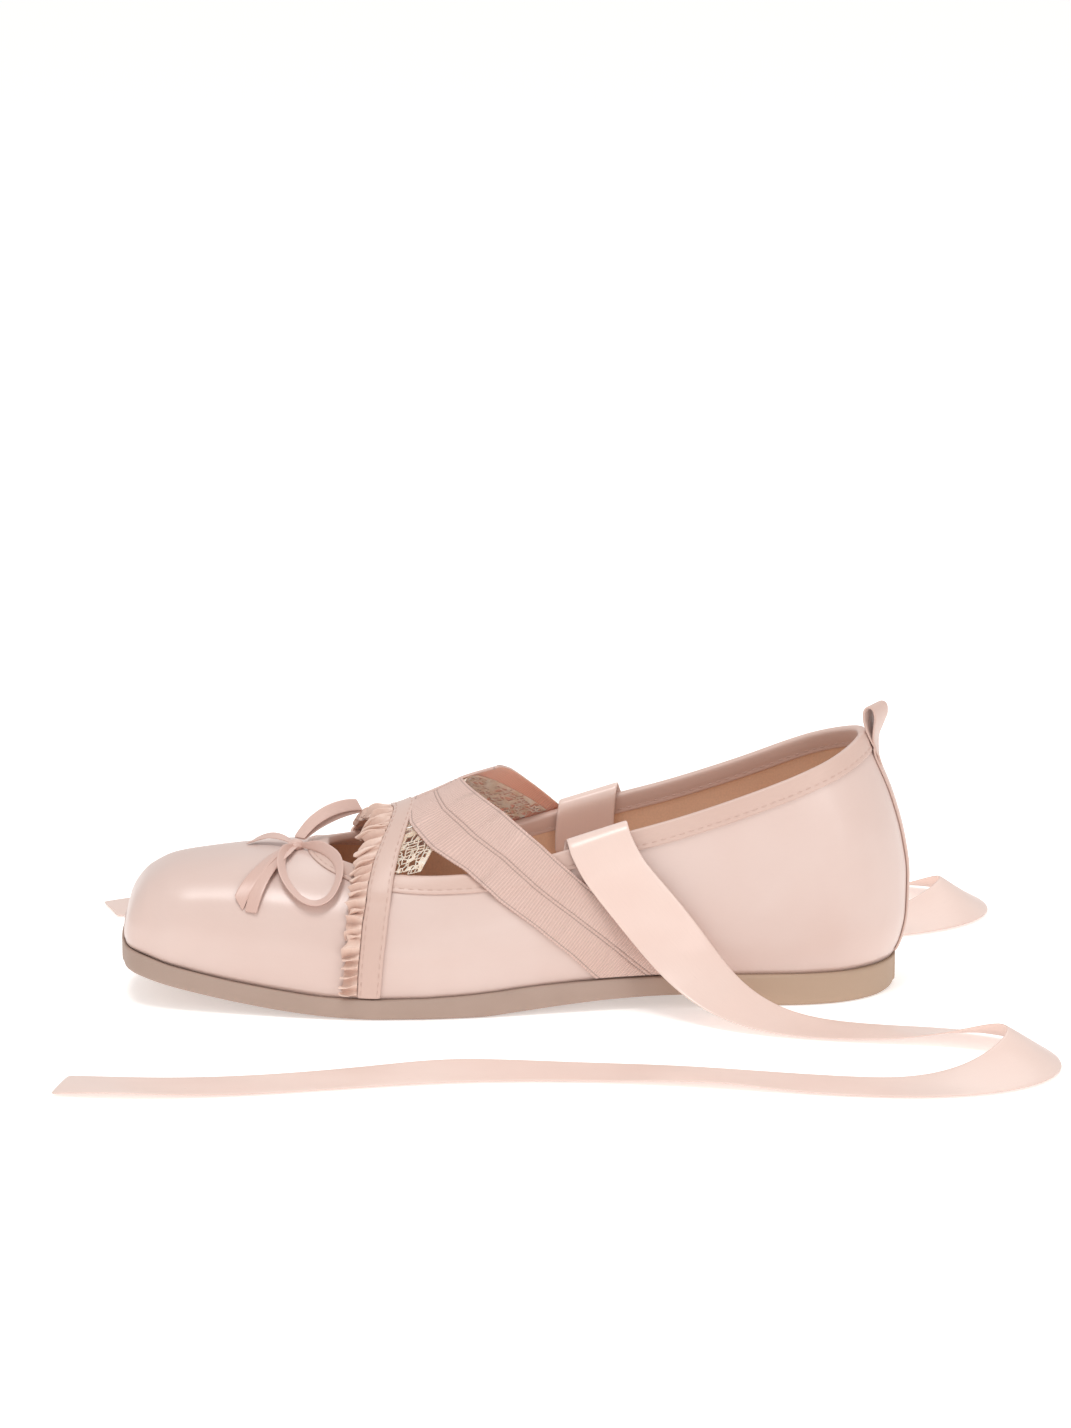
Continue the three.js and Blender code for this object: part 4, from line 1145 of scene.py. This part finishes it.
# A strip of ribbon: a centre line and the direction of its width, row by row
def ribbonStrip(centres, widths, width, across=4, outward=upwards, slant=0.0):
    centres = np.array(centres, float)
    widths = np.array(widths, float)
    along = len(centres) - 1

    def place(u, v):
        i = round(u * along)
        point = Vector(centres[i] + widths[i] * width * (v - 0.5))
        if slant and i == along:
            point += Vector(centres[-1] - centres[-2]).normalized() * slant * (v - 0.5)
        return point

    bm = clothGrid(along, across, place, (float(runAlong(centres)[-1]), width))
    faceOutwards(bm, outward)
    return bm


# Heel tape: a strip down the back seam and its pull loop
tapeSizes = {
    "width": 12.0, "thick": 0.8, "seat": 0.03, "bottom": 11.6, "top": 78.0, "rows": 33, "across": 10,
    "dome": 0.12, "domePower": 4,
    # Where the strip climbs over the binding, and how high
    "overFrom": 9.5, "overTo": 7.0, "over": 0.9,
    "loop": [
        (26.4, 71.0), (26.0, 74.5), (25.3, 78), (25.0, 81), (25.8, 84.5), (26.5, 87.6), (26.0, 90.6),
        (24.3, 91.8), (22.6, 90.8), (22.1, 87.8), (22.4, 84.4), (23.2, 81), (24.2, 78), (25.2, 74.5),
        (25.7, 72.2),
    ],
    "loopRows": 44, "loopAcross": 8, "loopThick": 0.72, "loopCentre": (24.5, 0, 86),
    "twist": 0.5, "twistPower": 1.5,
}


def heelStrip():
    size = tapeSizes
    heights = np.linspace(size["bottom"], size["top"], size["rows"] + 1)

    def place(u, v):
        z = heights[round(u * size["rows"])]
        start = Vector((60, (v - 0.5) * size["width"], z))
        spot = form["tree"].ray_cast(start, Vector((-1, 0, 0)))[0]
        edge = float(toplineAt(spot.x))
        over = easeIn(z, edge - size["overFrom"], edge - size["overTo"]) * size["over"]
        dome = size["dome"] * (1 - (2 * v - 1) ** size["domePower"])
        return lifted(spot, size["seat"] + size["thick"] + over + dome)

    strip = clothGrid(size["rows"], size["across"], place, (64, size["width"]))
    faceOutwards(strip, lambda point: Vector((1, 0, 0)))
    return strip


def pullLoop():
    size = tapeSizes
    line = throughPoints([(x, 0, z) for x, z in size["loop"]], size["loopRows"])
    shares = [i / (len(line) - 1) for i in range(len(line))]
    turns = [size["twist"] * math.sin(share * math.pi) ** size["twistPower"] for share in shares]
    widths = [(math.sin(turn), math.cos(turn), 0) for turn in turns]
    middle = Vector(size["loopCentre"])
    return ribbonStrip(line, widths, size["width"], across=size["loopAcross"], outward=lambda p: p - middle)


for name, bm, thick in (("strip", heelStrip(), "thick"), ("pull_loop", pullLoop(), "loopThick")):
    addPiece(
        bm, "heel_tape_" + name, ["satinTrim"], ["heel_tape"], tapeSizes[thick], smoothLevels=1,
    )
print("the heel tape is sewn on")

# Ankle ribbons: both edges in side view and the distance from the form on the shoe, and on the floor the
# height of the inner and the outer edge and the place of the middle
tieSizes = {
    "width": 20.0, "thick": 0.5, "along": 230, "across": 10,
    # Rounds of smoothing, where it starts and is full, and how strong it is on the shoe and on the floor
    "easing": 110, "easeFrom": 0.07, "easeReach": 0.05, "fallEnd": 0.28, "easeShoe": 0.5, "easeFloor": 0.12,
    # From this share on it can touch the floor; height of its middle there, and its small waves
    "floorFrom": 0.14, "floorFull": 0.2, "lowest": 0.65, "wave": 0.25, "waves": (70, 2),
    "onShoe": [
        (-77, 36.5, -57.5, 41.5, -4.2), (-77, 44, -57.5, 49.5, -4.2), (-76.6, 50.5, -57, 56.5, -4.0),
        (-76.2, 53.4, -56.6, 59.4, -3.0), (-75.8, 54.7, -56.2, 60.8, -0.6), (-75.4, 53.9, -55.8, 60.0, 2.2),
        (-74.6, 51, -55.0, 57.2, 3.4), (-70.8, 44, -51.6, 50.4, 4.2), (-65.6, 36.4, -47.0, 43.8, 4.8),
        (-59.0, 28.4, -41.4, 37.8, 5.2), (-51.6, 20.6, -34.6, 31.2, 5.4),
    ],
    "heights": [
        (14.5, 6.8), (8.0, 2.4), (2.6, 0.7), (0.9, 0.7), (0.7, 0.9), (0.7, 2.4), (0.9, 6.0), (1.0, 10.2),
        (1.0, 12.0), (1.0, 10.6), (0.9, 7.2), (0.8, 3.4), (0.7, 1.0), (0.7, 0.7), (1.2, 0.7), (2.4, 0.8),
        (1.4, 0.8), (0.7, 0.7), (0.7, 1.4), (0.8, 2.4), (0.7, 1.2), (0.7, 0.7), (0.8, 0.7), (1.4, 0.9),
        (2.2, 1.2), (1.0, 0.8),
    ],
    "lateral": [
        (-34, -42.5), (-26, -48.5), (-16, -54.5), (-2, -60), (14, -63), (31, -66), (47, -71.5), (59, -81),
        (64.5, -93.5), (62.5, -106.5), (53.5, -116.5), (40, -122), (24, -123), (6, -120.6), (-13, -116),
        (-32, -110.8), (-52, -106), (-72, -102.8), (-93, -101.6), (-114, -102.6), (-135, -105.6),
        (-156, -109.8), (-177, -113.6), (-197, -115.4), (-215, -114.6), (-230, -111.4),
    ],
    "medial": [
        (-34, 41.5), (-26, 47.5), (-16, 53), (-2, 57.5), (14, 60), (31, 62.5), (47, 67.5), (60, 76.5),
        (66.5, 89), (65, 102), (56, 112), (42.5, 117.5), (26.5, 118.5), (8, 116.4), (-11, 112.4),
        (-31, 108), (-51, 104.6), (-72, 102.8), (-93, 103.2), (-114, 105.4), (-135, 108), (-156, 109.6),
        (-177, 109.4), (-197, 107), (-213, 103.4), (-226, 99.4),
    ],
}


def tieEdges(side):
    edges = []
    for frontX, frontZ, rearX, rearZ, out in tieSizes["onShoe"]:
        front, rear = [side * (halfWidth(side, x, z) + out) for x, z in ((frontX, frontZ), (rearX, rearZ))]
        edges.append([frontX, front, frontZ, rearX, rear, rearZ])
    rows = tieSizes[sideName(side)]
    for i, ((x, y), (inner, outer)) in enumerate(zip(rows, tieSizes["heights"])):
        before, after = rows[max(0, i - 1)], rows[min(len(rows) - 1, i + 1)]
        heading = Vector((after[0] - before[0], after[1] - before[1])).normalized()
        rise = (outer - inner) / tieSizes["width"]
        reach = tieSizes["width"] / 2 * math.sqrt(1 - rise * rise)
        acrossX, acrossY = heading.y * side * reach, -heading.x * side * reach
        edges.append([x - acrossX, y - acrossY, outer, x + acrossX, y + acrossY, inner])
    return edges


# The rows are smoothed, and then brought back to the ribbon's width
def tieRows(side):
    size = tieSizes
    rows = throughPoints(tieEdges(side), size["along"] + 1)
    shares = np.linspace(0, 1, len(rows))[1:-1, None]
    soft = np.clip((shares - size["easeFrom"]) / size["easeReach"], 0, 1)
    soft *= np.where(shares > size["fallEnd"], size["easeFloor"], size["easeShoe"])
    for _ in range(size["easing"]):
        rows[1:-1] += ((rows[:-2] + rows[2:]) / 2 - rows[1:-1]) * soft
    middles, halves = (rows[:, :3] + rows[:, 3:]) / 2, (rows[:, 3:] - rows[:, :3]) / 2
    halves *= size["width"] / 2 / np.linalg.norm(halves, axis=1)[:, None]
    return middles, halves


def buildTie(side):
    size, word = tieSizes, sideName(side)
    middles, halves = tieRows(side)
    length = float(runAlong(middles)[-1])

    def place(u, v):
        i = round(u * size["along"])
        point = Vector(middles[i] - halves[i]).lerp(Vector(middles[i] + halves[i]), v)
        if u > size["floorFrom"]:
            wave = size["wave"] * math.sin(u * size["waves"][0] + v * size["waves"][1])
            wave *= math.sin(v * math.pi) * easeIn(u, size["floorFrom"], size["floorFull"])
            point.z = max(point.z, size["lowest"]) + wave
        return point

    bm = clothGrid(size["along"], size["across"], place, (length, size["width"]))
    faceOutwards(bm, upwards)
    piece = addPiece(
        bm, "ankle_ribbon_" + word + "_satin", ["ribbonSatin"], ["ankle_ribbon_" + word],
        size["thick"], smoothLevels=1, offset=0.0, even=False,
    )
    print("ankle ribbon", word, "is", round(length), "mm long")


for side in (-1, 1):
    buildTie(side)

# Toe bow of narrow ribbon
bowSizes = {
    "width": 4.6, "loopWidth": 4.0, "thick": 0.4, "lift": 0.7,
    "knot": (-160.6, -4.8, 48.0), "knotSize": (6.0, 5.2, 3.6),
    "knotTurn": 28, "knotPinch": 0.22, "knotFold": 0.07,
    "lateralLoop": [
        (-161.0, -5.6), (-162.8, -12), (-163.6, -19), (-162.4, -26), (-159, -31.2), (-154.6, -33.2),
        (-150.2, -31.6), (-147.8, -26), (-148.8, -19), (-152.8, -12), (-159.6, -5.6),
    ],
    "loopCentre": (-155.6, -21), "loopHeight": 36, "loopRows": 72,
    # How narrow a ribbon is gathered at the knot, and where it is at its full width
    "loopGather": 0.4, "loopOpen": 0.45, "tailGather": 0.55, "tailOpen": 0.3,
    "tails": [
        [(-162.0, -6.0), (-166.4, -13), (-171.2, -20.6), (-175.2, -26.4), (-178.2, -30.6)],
        [(-160.8, -6.6), (-164.8, -14.6), (-169.2, -23), (-172.4, -29), (-174.4, -32.8)],
        [(-161.6, -2.6), (-166, 1.2), (-171, 4.6), (-175.2, 6.6)],
    ],
    "tailLift": (0.7, 1.0, 2.0), "tailTwist": (0.25, -0.12, 0.25), "tailSlant": (2.2, -2.0, 2.0),
    "tailRows": 30, "tailStart": 0.6,
    "medialLoop": [
        (-159.6, -2.6, 49.6), (-155.2, 3.2, 52.8), (-150.2, 8.8, 54.8), (-145, 14, 55.6),
        (-140, 18.6, 55.4),
    ],
    "medialRows": 26, "medialGap": 2.2, "medialTaper": 0.3, "medialLeast": 0.25, "medialTurn": 0.9,
}


# The point of the form straight below, and the smooth normal there
def belowOnForm(x, y):
    return nearestOnForm(form["tree"].ray_cast(Vector((x, y, 130)), Vector((0, 0, -1)))[0])


def bowKnot():
    bm = bmesh.new()
    bmesh.ops.create_uvsphere(bm, u_segments=36, v_segments=20, radius=0.5)
    for vert in bm.verts:
        turn = math.atan2(vert.co.y, vert.co.z)
        pinch = 1 - bowSizes["knotPinch"] * abs(vert.co.x * 2) ** 2
        vert.co.y *= pinch * (1 + bowSizes["knotFold"] * math.sin(turn * 7 + vert.co.x * 5))
        vert.co.z *= pinch * (1 + bowSizes["knotFold"] * math.sin(turn * 5 + vert.co.x * 7))
    turned = Matrix.Rotation(math.radians(bowSizes["knotTurn"]), 3, "Z")
    bmesh.ops.scale(bm, vec=bowSizes["knotSize"], verts=bm.verts)
    bmesh.ops.rotate(bm, cent=(0, 0, 0), matrix=turned, verts=bm.verts)
    bmesh.ops.translate(bm, vec=bowSizes["knot"], verts=bm.verts)
    return bm


# The near loop stands on the vamp as an open hoop and leans outwards
def bowLateralLoop():
    size, centre = bowSizes, Vector((*bowSizes["loopCentre"], 0))
    line = throughPoints([(x, y, 0) for x, y in size["lateralLoop"]], size["loopRows"])
    centres, widths = [], []
    for i, (x, y, _) in enumerate(line):
        spot, normal = belowOnForm(x, y)
        outward = Vector((x, y, 0)) - centre
        outward = (outward - normal * outward.dot(normal)).normalized()
        low = math.sin(i / (len(line) - 1) * math.pi)
        gather = size["loopGather"] + (1 - size["loopGather"]) * easeIn(low, 0.0, size["loopOpen"])
        direction = (normal * (1.0 - 0.5 * low) + outward * (0.2 + 0.6 * low)).normalized() * gather
        centres.append(spot + normal * size["lift"] + direction * size["loopWidth"] * 0.5)
        widths.append(direction)
    middle = Vector((*size["loopCentre"], size["loopHeight"]))
    return ribbonStrip(centres, widths, size["loopWidth"], outward=lambda point: point - middle)


def bowTail(k, tail):
    size = bowSizes
    line = throughPoints([(x, y, 0) for x, y in tail], size["tailRows"])
    centres, widths = [], []
    for i, (x, y, _) in enumerate(line):
        spot, normal = belowOnForm(x, y)
        ahead = Vector(line[min(i + 1, len(line) - 1)] - line[max(i - 1, 0)])
        direction = normal.cross(ahead).normalized()
        share = i / (len(line) - 1)
        gather = size["tailGather"] + (1 - size["tailGather"]) * easeIn(share, 0.0, size["tailOpen"])
        lift = size["lift"] + size["tailLift"][k] * math.sin(share * math.pi)
        lift += size["tailStart"] * (1 - share) ** 2
        centres.append(spot + normal * lift)
        widths.append((direction + normal * size["tailTwist"][k] * math.sin(share * 4 + k)) * gather)
    return ribbonStrip(centres, widths, size["width"], slant=size["tailSlant"][k])


# The far loop is a flat fold that rises over the throat
def bowMedialLoop():
    size = bowSizes
    upper = throughPoints(size["medialLoop"], size["medialRows"])
    count, end = len(upper), 2 * len(upper) - 2
    heading = Vector(upper[-1] - upper[0])
    side = Vector((-heading.y, heading.x, 0)).normalized()
    centres, widths = [], []
    for i in range(end + 1):
        k = min(i, end - i)
        share = k / (count - 1)
        gap = size["medialGap"] * math.sqrt(max(0.0, math.sin(share * math.pi)))
        gap = max(gap * (1 - size["medialTaper"] * share), size["medialLeast"]) if k < count - 1 else 0.0
        centres.append(Vector(upper[k]) + Vector((0, 0, gap / 2 if i < count else -gap / 2)))
        turned = size["medialTurn"] * math.sin(i / end * math.pi)
        widths.append(side * math.cos(turned) + Vector((0, 0, math.sin(turned))))
    middle = Vector(upper[count // 2])
    return ribbonStrip(centres, widths, size["width"], outward=lambda point: point - middle)


def buildBow():
    addPiece(bowKnot(), "toe_bow_knot", ["bowRibbon"], ["toe_bow"])
    strips = {"lateral_loop": bowLateralLoop(), "medial_loop": bowMedialLoop()}
    for k, tail in enumerate(bowSizes["tails"]):
        strips["tail_" + str(k + 1)] = bowTail(k, tail)
    for name, bm in strips.items():
        addPiece(
            bm, "toe_bow_" + name, ["bowRibbon"], ["toe_bow"], bowSizes["thick"], smoothLevels=1,
            offset=0.0, even=False,
        )


buildBow()
print("the bow is tied")

# Stitches: short threads along lines of places and normals
stitchSizes = {
    "length": 2.1, "gap": 0.9, "radius": 0.17,
    "binding": [(5.2, 0.47), (5.2, -2.26)],  # distance below the top line and from the form
    "band": [0.16, 0.84],  # share of the band's width
    "bandEnd": 0.97, "bandMarks": 80,
}


def stitchRow(bm, points, normals):
    joined = np.concatenate([np.array(points, float), np.array(normals, float)], axis=1)
    total = float(runAlong(joined[:, :3])[-1])
    count = max(2, int(total / (stitchSizes["length"] + stitchSizes["gap"])))
    ends = evenly(joined, count * 2 + 1)
    size = Matrix.Diagonal((stitchSizes["length"] / 2, stitchSizes["radius"], stitchSizes["radius"], 1))
    for i in range(count):
        here = ends[2 * i + 1]
        along = Vector(ends[2 * i + 2][:3] - ends[2 * i][:3]).normalized()
        side = Vector(here[3:]).normalized().cross(along).normalized()
        turn = Matrix((along, side, along.cross(side))).transposed().to_4x4()
        place = Matrix.Translation(here[:3]) @ turn @ size
        bmesh.ops.create_uvsphere(bm, u_segments=6, v_segments=5, radius=1, matrix=place)


def buildStitches():
    bm = bmesh.new()
    for below, out in stitchSizes["binding"]:
        places = [onBinding(i, below, out) for i in range(len(bindingRing) + 1)]
        away = 1 if out > 0 else -1
        stitchRow(bm, places, [nearestOnForm(p)[1] * away for p in places])
    end, out = stitchSizes["bandEnd"], bandSizes["out"] + bandSizes["thick"]
    marks = evenSteps("bandRear", -end, end, stitchSizes["bandMarks"])[0]
    edges = linePoints(marks, "bandRear", "bandFront")
    for share in stitchSizes["band"]:
        places = [trimPoint(rear, front, share, out) for rear, front in zip(*edges)]
        stitchRow(bm, places, [nearestOnForm(p)[1] for p in places])
    addPiece(bm, "stitching", ["thread"])


buildStitches()
print("the stitches are in")

# Floor and light: a white floor under soft studio light
studio = {
    "floor": "FCFBFA", "floorSize": 12, "floorRough": 0.9, "glow": 0.37, "world": 0.66,
    "tint": (1, 0.99, 0.98, 1), "aim": (-0.09, 0, 0.03), "throatAim": (-0.094, 0.022, 0.063),
    # Power, width, height and place of each soft light
    "key": (14.4, 0.7, 0.7, (-0.4, -0.5, 1.9)),
    "side": (2.8, 0.3, 0.9, (0.85, -1.25, 0.55)),
    "front": (0.6, 0.5, 0.3, (0.3, -1.5, 0.36)),
    "back": (4.0, 1.2, 1.2, (0.3, 1.2, 1.5)),
    # A weak one in the throat, towards the far lace
    "throat": (0.0024, 0.01, 0.02, (-0.09, -0.004, 0.046)),
}


def addLight(name, target):
    power, wide, high, place = studio[name]
    lamp = bpy.data.lights.new(name, "AREA")
    lamp.energy = power
    lamp.shape = "RECTANGLE"
    lamp.size = wide
    lamp.size_y = high
    holder = addObject(name, lamp)
    holder.location = place
    holder.rotation_euler = (Vector(place) - Vector(target)).to_track_quat("Z", "Y").to_euler()
    return holder


def addFloor():
    bm = bmesh.new()
    bmesh.ops.create_grid(bm, x_segments=1, y_segments=1, size=studio["floorSize"])
    material, tree, shader = newMaterial("floorWhite")
    feed(tree, shader, {
        "Base Color": linear(studio["floor"]), "Roughness": studio["floorRough"], "Specular IOR Level": 0.0,
        "Emission Color": studio["tint"], "Emission Strength": studio["glow"],
    })
    addMesh(bm, "floor", [material])


def buildStudio():
    addFloor()
    world = bpy.data.worlds.new("studio")
    world.use_nodes = True
    background = {"Color": studio["tint"], "Strength": studio["world"]}
    feed(world.node_tree, world.node_tree.nodes["Background"], background)
    bpy.context.scene.world = world
    for name in ("key", "side", "front", "back"):
        addLight(name, studio["aim"])
    addLight("throat", studio["throatAim"]).visible_camera = False
    settings = bpy.context.scene.view_settings
    settings.view_transform = "Standard"
    settings.look = "None"


buildStudio()
print("the floor and the lights are in place")
